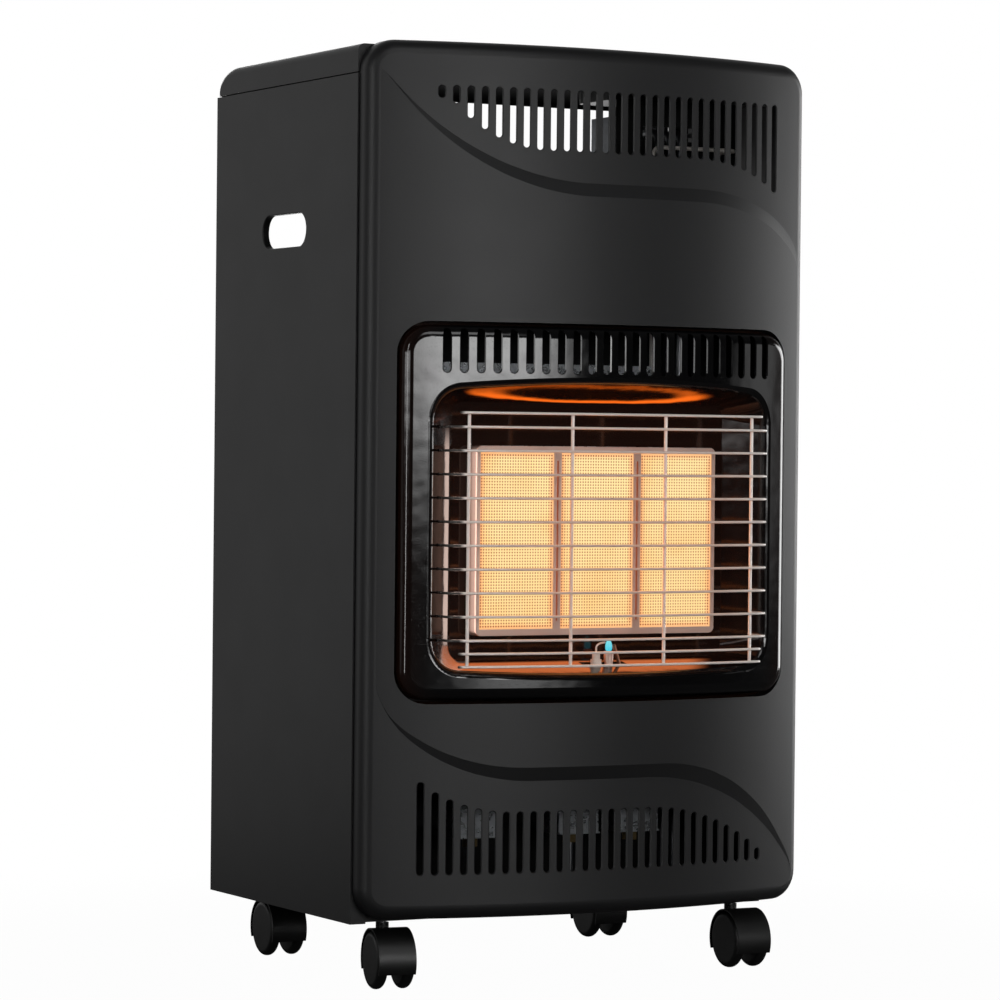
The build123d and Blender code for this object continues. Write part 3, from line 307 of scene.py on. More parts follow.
@dataclass(frozen=True)
class PowderCoat(Finish):
    """Satin powder coat with a fine orange peel and faint handling marks."""

    name: str
    colour: Colour
    roughness: float
    peel: float = 0.12
    marks: float = 0.06
    gloss: float = 0.42
    drift_scale: float = 9.0
    darkest: float = 0.86
    lightest: float = 1.12
    speckle_scale: float = 1400.0
    speckle_range: Range = (0.08, 0.3)
    speckle_share: float = 0.35
    speckle_gain: float = 1.6
    mark_scale: float = 22.0
    peel_scale: float = 700.0
    peel_height: float = 0.4 * MM

    def shade(self, graph: Graph) -> Value:
        """Colour and gloss drift slowly, and the peel is a fine bump.

        Args:
            graph: The material's graph.

        Returns:
            The surface shader.
        """
        drift = graph.noise(self.drift_scale, detail=3.0)
        speckle = graph.noise(self.speckle_scale, detail=2.0) - NOISE_MIDDLE
        dark = scaled(self.colour, self.darkest)
        light = scaled(self.colour, self.lightest)
        tone = graph.mix(drift, dark, light)
        bright = scaled(self.colour, self.speckle_gain)
        base = graph.mix(speckle.ramp(*self.speckle_range) * self.speckle_share, tone, bright)
        marks = (graph.noise(self.mark_scale, detail=4.0) - NOISE_MIDDLE) * self.marks
        peel = graph.bump(graph.noise(self.peel_scale, detail=2.0), self.peel, self.peel_height)
        return self.principled(graph, {
            "Base Color": base,
            "Roughness": self.roughness + marks,
            "Normal": peel,
            "Specular IOR Level": self.gloss,
        })


@dataclass(frozen=True)
class VitreousEnamel(Finish):
    """Glossy black enamel, slightly wavy and finely specked, with the fire's reflection painted in
    as a brown tone inside the opening.
    """

    name: str
    colour: Colour
    roughness: float = 0.09
    wave_scale: float = 55.0
    speck_scale: float = 900.0
    speck_height: float = 0.06
    dull_range: Range = (0.55, 0.8)
    dull_gain: float = 0.16
    drift_scale: float = 14.0
    drift_gain: float = 0.05
    dust: Colour = srgb(44, 42, 40)
    dust_range: Range = (0.62, 0.82)
    dust_share: float = 0.5
    # painted reflection of the fire, deep inside the opening
    brown: Colour = srgb(36, 19, 13)
    brown_behind: float = -145.0 * MM
    brown_fade: float = 20.0 * MM
    bump: float = 0.35
    bump_height: float = 0.6 * MM

    def shade(self, graph: Graph) -> Value:
        """Waves bend the reflections, specks dull the gloss, and a painted reflection of the fire
        browns the tone towards the back.

        Args:
            graph: The material's graph.

        Returns:
            The surface shader.
        """
        waves = graph.noise(self.wave_scale, detail=1.0)
        specks = graph.noise(self.speck_scale, detail=3.0)
        height = waves + specks * self.speck_height
        drift = (graph.noise(self.drift_scale, detail=3.0) - NOISE_MIDDLE) * self.drift_gain
        rough = self.roughness + specks.ramp(*self.dull_range) * self.dull_gain + drift
        tone = graph.mix(specks.ramp(*self.dust_range) * self.dust_share, self.colour, self.dust)
        _, y, _ = graph.parts(graph.place())
        # Painted reflection: the tone turns brown deep inside the opening, where the fire would
        # reflect.
        tone = graph.mix((y - self.brown_behind).ramp(0.0, self.brown_fade), tone, self.brown)
        return self.principled(graph, {
            "Base Color": tone,
            "Roughness": rough,
            "Normal": graph.bump(height, self.bump, self.bump_height),
        })


@dataclass(frozen=True)
class DrawnWire(Finish):
    """Bright drawn wire, heat-tinted mid-guard, with painted shade where its left ends turn in."""

    name: str
    colour: Colour
    tint: Colour
    roughness: float = 0.24
    metallic: float = 0.05
    tint_half_width: float = 160.0 * MM
    tint_side_fade: Range = (0.45, 1.0)
    tint_z: float = 366.0 * MM
    tint_half_height: float = 120.0 * MM
    tint_end_fade: Range = (0.3, 1.0)
    tint_share: float = 0.8
    # painted shade on the wires' left ends, where they turn back into the opening
    soot: Colour = srgb(30, 26, 24)
    soot_range: Range = (138.5 * MM, 143.5 * MM)
    soot_share: float = 0.94
    streak_scale: float = 420.0
    streak_range: Range = (0.5, 0.8)
    streak_share: float = 0.25
    streak_tone: float = 0.75
    streak_gloss: float = 0.15

    def shade(self, graph: Graph) -> Value:
        """Tint fades from the middle, painted shade darkens the left turn, and draw lines vary the
        gloss.

        Args:
            graph: The material's graph.

        Returns:
            The surface shader.
        """
        x, _, z = graph.parts(graph.place())
        middle = 1 - (abs(x) / self.tint_half_width).ramp(*self.tint_side_fade)
        level = 1 - (abs(z - self.tint_z) / self.tint_half_height).ramp(*self.tint_end_fade)
        streaks = graph.noise(self.streak_scale, detail=3.0)
        tone = graph.mix(middle * level * self.tint_share, self.colour, self.tint)
        # Painted shade: the left ends go dark where they run back into the opening.
        tone = graph.mix((0.0 - x).ramp(*self.soot_range) * self.soot_share, tone, self.soot)
        worn = scaled(self.colour, self.streak_tone)
        tone = graph.mix(streaks.ramp(*self.streak_range) * self.streak_share, tone, worn)
        return self.principled(graph, {
            "Base Color": tone,
            "Metallic": self.metallic,
            "Roughness": self.roughness + (streaks - NOISE_MIDDLE) * self.streak_gloss,
        })


@dataclass(frozen=True)
class SheetMetal(Finish):
    """Bare or zinc-coated sheet, with spangle or rolling lines."""

    name: str
    colour: Colour
    roughness: float
    spangle: float = 0.0
    heat: float = 0.0
    metallic: float = 1.0
    dark_behind: float = BEYOND
    crystal_scale: float = 260.0
    crystal_tone: float = 0.55
    crystal_gloss: float = 0.25
    heat_colour: Colour = srgb(150, 112, 86)
    heat_scale: float = 30.0
    heat_range: Range = (0.5, 0.85)
    # painted shade for the flanks behind the plane
    burnt: Colour = srgb(74, 60, 54)
    burnt_fade: float = 2.0 * MM
    burnt_share: float = 0.8
    line_scales: Point = (60.0, 900.0, 900.0)
    line_gloss: float = 0.12
    line_bump: float = 0.08
    line_height: float = 0.2 * MM

    def shade(self, graph: Graph) -> Value:
        """Crystals change tone and gloss, and flanks behind a plane get painted shade.

        Args:
            graph: The material's graph.

        Returns:
            The surface shader.
        """
        inputs = {"Vector": graph.place(), "Scale": self.crystal_scale}
        cells = graph.node("ShaderNodeTexVoronoi", {}, inputs)["Color"]
        patch, _, _ = graph.parts(cells)
        stain = graph.noise(self.heat_scale, detail=4.0)
        lines = graph.noise(1.0, 3.0, graph.vector("MULTIPLY", graph.place(), self.line_scales))
        tone = graph.mix(patch * self.spangle, self.colour, scaled(self.colour, self.crystal_tone))
        tone = graph.mix(stain.ramp(*self.heat_range) * self.heat, tone, self.heat_colour)
        _, y, _ = graph.parts(graph.place())
        # Painted shade on the flanks that turn back from the front face, behind the plane.
        behind = (y - self.dark_behind).ramp(0.0, self.burnt_fade)
        tone = graph.mix(behind * self.burnt_share, tone, self.burnt)
        crystals = (patch - NOISE_MIDDLE) * self.crystal_gloss * self.spangle
        return self.principled(graph, {
            "Base Color": tone,
            "Metallic": self.metallic,
            "Roughness": self.roughness + crystals + (lines - NOISE_MIDDLE) * self.line_gloss,
            "Normal": graph.bump(lines, self.line_bump, self.line_height),
        })


@dataclass(frozen=True)
class TurnedMetal(Finish):
    """Turned, drawn or plated metal with fine tool marks."""

    name: str
    colour: Colour
    roughness: float
    dull: float = 0.2
    mark_scales: Point = (300.0, 300.0, 2600.0)
    mark_gloss: float = 0.14
    mark_bump: float = 0.06
    mark_height: float = 0.2 * MM
    stain_scale: float = 120.0
    stain_range: Range = (0.45, 0.8)
    stain_tone: float = 0.4
    stain_gloss_range: Range = (0.5, 0.9)
    stain_gloss: float = 0.1

    def shade(self, graph: Graph) -> Value:
        """Tool marks run round the vertical axis and dull patches sit on top.

        Args:
            graph: The material's graph.

        Returns:
            The surface shader.
        """
        marks = graph.noise(1.0, 2.0, graph.vector("MULTIPLY", graph.place(), self.mark_scales))
        stain = graph.noise(self.stain_scale, detail=3.0)
        worn = scaled(self.colour, self.stain_tone)
        rough = self.roughness + (marks - NOISE_MIDDLE) * self.mark_gloss
        return self.principled(graph, {
            "Base Color": graph.mix(stain.ramp(*self.stain_range) * self.dull, self.colour, worn),
            "Metallic": 1.0,
            "Roughness": rough + stain.ramp(*self.stain_gloss_range) * self.stain_gloss,
            "Normal": graph.bump(marks, self.mark_bump, self.mark_height),
        })


@dataclass(frozen=True)
class MouldedPlastic(Finish):
    """Moulded plastic with a fine spark texture."""

    name: str
    colour: Colour
    roughness: float
    grain: float = 0.15
    grain_scale: float = 1900.0
    grain_height: float = 0.3 * MM
    drift_scale: float = 40.0
    drift_gloss: float = 0.1
    darkest: float = 0.85
    lightest: float = 1.2

    def shade(self, graph: Graph) -> Value:
        """Grain as a bump, and a slow drift in tone and gloss.

        Args:
            graph: The material's graph.

        Returns:
            The surface shader.
        """
        grain = graph.noise(self.grain_scale, detail=2.0)
        drift = graph.noise(self.drift_scale, detail=3.0)
        dark = scaled(self.colour, self.darkest)
        light = scaled(self.colour, self.lightest)
        return self.principled(graph, {
            "Base Color": graph.mix(drift, dark, light),
            "Roughness": self.roughness + (drift - NOISE_MIDDLE) * self.drift_gloss,
            "Normal": graph.bump(grain, self.grain, self.grain_height),
        })


@dataclass(frozen=True)
class GlowingCeramic(Finish):
    """Perforated ceramic at red heat: pale in the middle, redder at its edge and in its holes."""

    name: str
    middle_x: float
    middle_z: float
    half_width: float
    half_height: float
    hole_plane: float
    cold: Colour = srgb(96, 82, 70)
    roughness: float = 0.9
    strength: float = 1.0
    core: Colour = (1.0, 0.8, 0.38)
    warm: Colour = (0.98, 0.58, 0.2)
    uneven_scale: float = 26.0
    uneven_range: Range = (0.45, 0.75)
    uneven_share: float = 0.35
    left_range: Range = (16.0 * MM, 34.0 * MM)
    left_share: float = 0.35
    lower_range: Range = (-40.0 * MM, 70.0 * MM)
    lower_share: float = 0.3
    rim: Colour = (0.95, 0.33, 0.14)
    rim_range: Range = (0.6 * MM, 6.2 * MM)
    rim_share: float = 0.55
    hole: Colour = (0.3, 0.06, 0.012)
    hole_fade: float = 0.7 * MM
    hole_share: float = 0.78
    rim_hole_share: float = 0.22

    def shade(self, graph: Graph) -> Value:
        """Heat that is uneven, less to the left, below and at the edge, and least in the holes.

        Args:
            graph: The material's graph.

        Returns:
            The surface shader.
        """
        x, y, z = graph.parts(graph.place())
        side = self.half_width - abs(x - self.middle_x)
        end = self.half_height - abs(z - self.middle_z)
        inset = graph.math("MINIMUM", side, end)
        edge = 1 - inset.ramp(*self.rim_range)
        uneven = graph.noise(self.uneven_scale, detail=3.0).ramp(*self.uneven_range)
        uneven = uneven * self.uneven_share
        left = (self.middle_x - x).ramp(*self.left_range) * self.left_share
        lower = (self.middle_z - z).ramp(*self.lower_range) * self.lower_share
        heat = graph.mix(uneven + left + lower, self.core, self.warm)
        heat = graph.mix(edge * self.rim_share, heat, self.rim)
        deep = (y - self.hole_plane).ramp(0.0, self.hole_fade)
        heat = graph.mix(deep * (self.hole_share + edge * self.rim_hole_share), heat, self.hole)
        return self.principled(graph, {
            "Base Color": self.cold,
            "Roughness": self.roughness,
            "Emission Color": heat,
            "Emission Strength": self.strength,
        })


@dataclass(frozen=True)
class Porcelain(Finish):
    """White glazed insulator with soot on it."""

    name: str
    colour: Colour
    roughness: float = 0.3
    soot: Colour = srgb(150, 120, 104)
    soot_scale: float = 260.0
    soot_range: Range = (0.5, 0.8)
    soot_share: float = 0.3
    soot_gloss: float = 0.2

    def shade(self, graph: Graph) -> Value:
        """Faint soot in small patches.

        Args:
            graph: The material's graph.

        Returns:
            The surface shader.
        """
        patches = graph.noise(self.soot_scale, detail=3.0).ramp(*self.soot_range)
        return self.principled(graph, {
            "Base Color": graph.mix(patches * self.soot_share, self.colour, self.soot),
            "Roughness": self.roughness + patches * self.soot_gloss,
        })


@dataclass(frozen=True)
class PilotFlame(Finish):
    """The small blue pilot flame, paler towards its tip and open at its outline."""

    name: str
    middle_z: float
    colour: Colour
    strength: float
    tip_colour: Colour = srgb(150, 236, 240)
    tip_range: Range = (-8.0 * MM, 12.0 * MM)
    outline_blend: float = 0.35
    outline_share: float = 0.85

    def shade(self, graph: Graph) -> Value:
        """Emission that pales upwards and lets the view through at the outline.

        Args:
            graph: The material's graph.

        Returns:
            The surface shader.
        """
        outline = graph.node("ShaderNodeLayerWeight", {}, {"Blend": self.outline_blend})["Facing"]
        _, _, z = graph.parts(graph.place())
        rise = (z - self.middle_z).ramp(*self.tip_range)
        return self.principled(graph, {
            "Base Color": BLACK,
            "Roughness": 1.0,
            "Emission Color": graph.mix(rise, self.colour, self.tip_colour),
            "Emission Strength": self.strength,
            "Alpha": 1 - outline * self.outline_share,
        })


@dataclass(frozen=True)
class Finishes:
    """Every finish on the heater."""

    cabinet: PowderCoat = PowderCoat("charcoal_powder_coat", srgb(25, 25, 26), 0.45)
    # black paint made darker than paint is: its own black plus painted shade inside the cabinet
    inner: PowderCoat = PowderCoat("black_paint_and_painted_shade", srgb(8, 8, 8), 0.7, 0.1, 0.1, 0.2)
    enamel: VitreousEnamel = VitreousEnamel("black_vitreous_enamel", srgb(9, 9, 10))
    wire: DrawnWire = DrawnWire("bright_guard_wire", srgb(250, 242, 236), srgb(246, 208, 188))
    stainless: SheetMetal = SheetMetal(
        "burner_stainless",
        srgb(214, 190, 178),
        0.34,
        heat=0.1,
        metallic=0.45,
        # the flanks behind the frame's face get painted shade
        dark_behind=-131.3 * MM,
    )
    galvanised: SheetMetal = SheetMetal("galvanised_sheet", srgb(196, 200, 204), 0.32, 0.7)
    aluminised: SheetMetal = SheetMetal("aluminised_sheet", srgb(150, 150, 150), 0.42, 0.3, 0.4)
    ceramic: Porcelain = Porcelain("white_insulator", srgb(232, 224, 214))
    # darker than brass: its own dull brass plus painted shade where it shows inside the cabinet
    brass: TurnedMetal = TurnedMetal("turned_brass", srgb(104, 90, 62), 0.42)
    copper: TurnedMetal = TurnedMetal("copper_capillary", srgb(150, 112, 92), 0.36)
    # darker than aluminium: its own tone plus painted shade where the pipes show through the slots
    tube: TurnedMetal = TurnedMetal("aluminium_gas_pipe", srgb(118, 119, 122), 0.36)
    zinc: TurnedMetal = TurnedMetal("zinc_plate", srgb(190, 192, 190), 0.3, 0.3)
    chrome: TurnedMetal = TurnedMetal("polished_stem", srgb(222, 222, 224), 0.12, 0.1)
    casting: SheetMetal = SheetMetal("die_cast_alloy", srgb(140, 142, 146), 0.55, 0.2)
    black_plastic: MouldedPlastic = MouldedPlastic("black_moulding", srgb(10, 10, 10), 0.42)
    red_plastic: MouldedPlastic = MouldedPlastic(
        "red_button_moulding", srgb(150, 24, 20), 0.34, 0.05
    )
    silicone: MouldedPlastic = MouldedPlastic("silicone_sleeve", srgb(196, 190, 184), 0.5, 0.1)
    flame: PilotFlame = PilotFlame("pilot_flame", 279.0 * MM, (0.02, 0.55, 0.75), 1.0)


FINISHES = Finishes()


class SlotFinish(Enum):
    """Which finish each of the record's material slots takes."""

    cabinet_paint = FINISHES.cabinet
    black_paint = FINISHES.inner
    galvanised = FINISHES.galvanised
    black_enamel = FINISHES.enamel
    bright_wire = FINISHES.wire
    stainless = FINISHES.stainless
    brass = FINISHES.brass
    ceramic = FINISHES.ceramic
    copper = FINISHES.copper
    aluminium_tube = FINISHES.tube
    silicone = FINISHES.silicone
    black_plastic = FINISHES.black_plastic
    red_plastic = FINISHES.red_plastic
    die_cast = FINISHES.casting
    zinc = FINISHES.zinc
    aluminised = FINISHES.aluminised
    chrome = FINISHES.chrome


# ------------------------------------------------------------------ mesh making
def placed(name: str, mesh: bmesh.types.BMesh, material: bpy.types.Material) -> bpy.types.Object:
    """Turns a built mesh into an object of the scene.

    Args:
        name: The object's name.
        mesh: The mesh, which is freed.
        material: Its one material.

    Returns:
        The new object.
    """
    data = bpy.data.meshes.new(name)
    mesh.to_mesh(data)
    mesh.free()
    data.materials.append(material)
    piece = bpy.data.objects.new(name, data)
    bpy.context.scene.collection.objects.link(piece)
    return piece


class Shaper:
    """Builds one mesh piece from simple swept and turned forms."""

    dome_share = 0.6
    dome_reach = 0.45
    weld_distance = 1e-7

    def __init__(self, name: str) -> None:
        """Starts an empty piece."""
        self.name = name
        self.mesh = bmesh.new()

    def ring(self, points: Iterable[Vector]) -> list[bmesh.types.BMVert]:
        """Adds a ring of vertices."""
        return [self.mesh.verts.new(point) for point in points]

    def circle(
        self, centre: Vector, across: Vector, third: Vector, radius: float, sides: int
    ) -> list[bmesh.types.BMVert]:
        """Adds a round ring of vertices.

        Args:
            centre: Its middle.
            across: First direction in its plane.
            third: Second direction in its plane, square to the first.
            radius: Its radius.
            sides: Steps round it.

        Returns:
            The vertices in order.
        """
        steps = [2 * math.pi * i / sides for i in range(sides)]
        ways = [across * math.cos(angle) + third * math.sin(angle) for angle in steps]
        return self.ring(centre + way * radius for way in ways)

    def bridge(self, first: list[bmesh.types.BMVert], second: list[bmesh.types.BMVert]) -> None:
        """Joins two closed rings with quads.

        Args:
            first: One ring.
            second: The other ring, of the same length.
        """
        count = len(first)
        for i in range(count):
            j = (i + 1) % count
            self.mesh.faces.new((first[i], first[j], second[j], second[i]))

    def turned(
        self, profile: Sequence[tuple[float, float]], foot: Point, axis: Point, sides: int
    ) -> None:
        """Turns a profile round an axis, closed to a point at both ends.

        Args:
            profile: Radius and place along the axis of each point, with 0 as first and last radius.
            foot: Where the axis starts.
            axis: Direction of the axis.
            sides: Steps round it.
        """
        along = Vector(axis).normalized()
        across = along.orthogonal().normalized()
        third = along.cross(across)
        start, end = (Vector(foot) + along * profile[i][1] for i in (0, -1))
        first = self.mesh.verts.new(start)
        rings = [
            self.circle(Vector(foot) + along * place, across, third, radius, sides)
            for radius, place in profile[1:-1]
        ]
        last = self.mesh.verts.new(end)
        for i in range(sides):
            self.mesh.faces.new((first, rings[0][(i + 1) % sides], rings[0][i]))
        for lower, upper in zip(rings[:-1], rings[1:]):
            self.bridge(lower, upper)
        for i in range(sides):
            self.mesh.faces.new((rings[-1][i], rings[-1][(i + 1) % sides], last))

    def tube(self, path: Sequence[Vector], radius: float, sides: int = 12) -> None:
        """Sweeps a round bar with softened ends along points.

        Args:
            path: Points on the centre line.
            radius: The bar's radius.
            sides: Steps round it.
        """
        last = len(path) - 1
        tangents = [
            (path[min(i + 1, last)] - path[max(i - 1, 0)]).normalized() for i in range(last + 1)
        ]
        across = tangents[0].orthogonal().normalized()
        rings = []
        for i, tangent in enumerate(tangents):
            across = (across - tangent * across.dot(tangent)).normalized()
            third = tangent.cross(across)
            inset = tangent * radius * self.dome_reach
            sections = [(path[i], 1.0)]
            if i == 0:
                sections = [(path[i], self.dome_share), (path[i] + inset, 1.0)]
            if i == last:
                sections = [(path[i] - inset, 1.0), (path[i], self.dome_share)]
            for centre, share in sections:
                rings.append(self.circle(centre, across, third, radius * share, sides))
        for first, second in zip(rings[:-1], rings[1:]):
            self.bridge(first, second)
        self.mesh.faces.new(list(reversed(rings[0])))
        self.mesh.faces.new(rings[-1])

    def finished(self, finish: Finish, body: str, smooth_angle: float) -> bpy.types.Object:
        """Makes the object, dresses it and lets it ride.

        Args:
            finish: Its finish.
            body: The CAD body it moves with.
            smooth_angle: Edges sharper than this stay crisp, in degrees.

        Returns:
            The new object.
        """
        bmesh.ops.remove_doubles(self.mesh, verts=self.mesh.verts, dist=self.weld_distance)
        bmesh.ops.recalc_face_normals(self.mesh, faces=self.mesh.faces)
        piece = placed(self.name, self.mesh, finish.material())
        smooth(piece.data, smooth_angle)
        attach(piece, body)
        log.info("piece %s rides on %s", self.name, body)
        return piece


def smooth(data: bpy.types.Mesh, angle: float) -> None:
    """Shades a mesh smooth, with edges past an angle in degrees kept crisp."""
    data.polygons.foreach_set("use_smooth", [True] * len(data.polygons))
    data.set_sharp_from_angle(angle=math.radians(angle))


# ------------------------------------------------------------------ CAD nodes
@dataclass
class CadSkins:
    """Gives every CAD node its finish."""

    nodes: dict[str, bpy.types.Object]
    record: dict[str, Any]

    def dress(self) -> None:
        """Dresses every node with the finish of its material slot."""
        slots = {entry["node"]: entry["material_slot"] for entry in self.record["subparts"]}
        for name, node in self.nodes.items():
            finish = SlotFinish[slots[name]].value
            node.data.materials.clear()
            node.data.materials.append(finish.material())
            log.info("node %s wears %s", name, finish.name)


# ------------------------------------------------------------------ burner
@dataclass(frozen=True)
class HoleGrid:
    """The square grid of holes in one plaque."""

    left: float
    low: float
    columns: int
    rows: int
    corners: dict[tuple[int, int], bmesh.types.BMVert]

    def rim(self) -> list[tuple[int, int]]:
        """Column and row of the corners round the grid, in order.

        Returns:
            The places, from the lower left corner along the bottom, up, back and down.
        """
        bottom = [(i, 0) for i in range(self.columns + 1)]
        up = [(self.columns, k) for k in range(1, self.rows + 1)]
        top = [(i, self.rows) for i in range(self.columns - 1, -1, -1)]
        down = [(0, k) for k in range(self.rows - 1, 0, -1)]
        return bottom + up + top + down


@dataclass
class Burner:
    """The three glowing plaques with their real perforations."""

    frame_front_y: float = -132.5 * MM
    frame_sheet: float = 1.2 * MM
    middle_z: float = 367.25 * MM
    pitch_x: float = 75.8 * MM
    window_width: float = 69.0 * MM
    window_height: float = 145.0 * MM
    lap: float = 1.5 * MM
    thickness: float = 12.0 * MM
    hole_pitch: float = 2.42 * MM
    hole_radius: float = 0.84 * MM
    hole_depth: float = 1.6 * MM
    hole_sides: int = 8
    hole_turn: float = -135.0
    border: float = 0.6 * MM
    smooth_angle: float = 30.0

    @property
    def face_y(self) -> float:
        """Y of the plaques' faces, behind the frame's sheet."""
        return self.frame_front_y + self.frame_sheet

    def build(self) -> None:
        """Makes the three plaques."""
        for side, step in (("left", -1), ("middle", 0), ("right", 1)):
            piece = self._plaque(side, step * self.pitch_x)
            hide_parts("plaque_" + side)

    def _grid(self, mesh: bmesh.types.BMesh, middle_x: float) -> HoleGrid:
        """Lays out the grid of square cells, one for each hole.

        Args:
            mesh: The plaque's mesh, which gets the cells' corners.
            middle_x: X of the plaque's middle.

        Returns:
            The grid.
        """
        columns = int((self.window_width - 2 * self.border) / self.hole_pitch)
        rows = int((self.window_height - 2 * self.border) / self.hole_pitch)
        left = middle_x - columns * self.hole_pitch / 2
        low = self.middle_z - rows * self.hole_pitch / 2
        corners: dict[tuple[int, int], bmesh.types.BMVert] = {}
        for i in range(columns + 1):
            for k in range(rows + 1):
                place = Vector((left + i * self.hole_pitch, self.face_y, low + k * self.hole_pitch))
                corners[i, k] = mesh.verts.new(place)
        return HoleGrid(left, low, columns, rows, corners)

    def _plaque(self, side: str, middle_x: float) -> bpy.types.Object:
        """One plaque, a slab whose face is pierced cell by cell.

        Args:
            side: Which plaque it is.
            middle_x: X of its middle.

        Returns:
            The plaque.
        """
        shape = Shaper(f"glowing_plaque_{side}")
        mesh = shape.mesh
        grid = self._grid(mesh, middle_x)
        for i in range(grid.columns):
            for k in range(grid.rows):
                self._cell(shape, grid, i, k)
        half = self.window_width / 2 + self.lap
        tall = self.window_height / 2 + self.lap
        sides = {0: middle_x - half, grid.columns: middle_x + half}
        ends = {0: self.middle_z - tall, grid.rows: self.middle_z + tall}
        places = grid.rim()
        inner = [grid.corners[place] for place in places]
        rim = shape.ring(
            Vector((sides.get(i, vert.co.x), self.face_y, ends.get(k, vert.co.z)))
            for (i, k), vert in zip(places, inner)
        )
        shape.bridge(inner, rim)
        rear = shape.ring(Vector((v.co.x, self.face_y + self.thickness, v.co.z)) for v in rim)
        shape.bridge(rim, rear)
        mesh.faces.new(list(reversed(rear)))
        finish = GlowingCeramic(
            f"glowing_ceramic_{side}",
            middle_x,
            self.middle_z,
            self.window_width / 2,
            self.window_height / 2,
            self.face_y,
        )
        return shape.finished(finish, "cabinet", self.smooth_angle)

    def _cell(self, shape: Shaper, grid: HoleGrid, i: int, k: int) -> None:
        """One square cell with its round, blind hole.

        Args:
            shape: The plaque in the making.
            grid: Its grid.
            i: The cell's column.
            k: The cell's row.
        """
        mesh = shape.mesh
        square = [grid.corners[place] for place in ((i, k), (i + 1, k), (i + 1, k + 1), (i, k + 1))]
        x = grid.left + (i + 0.5) * self.hole_pitch
        z = grid.low + (k + 0.5) * self.hole_pitch
        mouth = []
        floor = []
        for step in range(self.hole_sides):
            angle = math.radians(self.hole_turn + 360 / self.hole_sides * step)
            dx = self.hole_radius * math.cos(angle)
            dz = self.hole_radius * math.sin(angle)
            mouth.append(mesh.verts.new((x + dx, self.face_y, z + dz)))
            floor.append(mesh.verts.new((x + dx, self.face_y + self.hole_depth, z + dz)))
        share = self.hole_sides // len(square)
        for side, start in enumerate(square):
            end = square[(side + 1) % len(square)]
            near = [mouth[(share * side + step) % self.hole_sides] for step in range(share, -1, -1)]
            mesh.faces.new((start, end, *near))
        shape.bridge(mouth, floor)
        mesh.faces.new(floor)


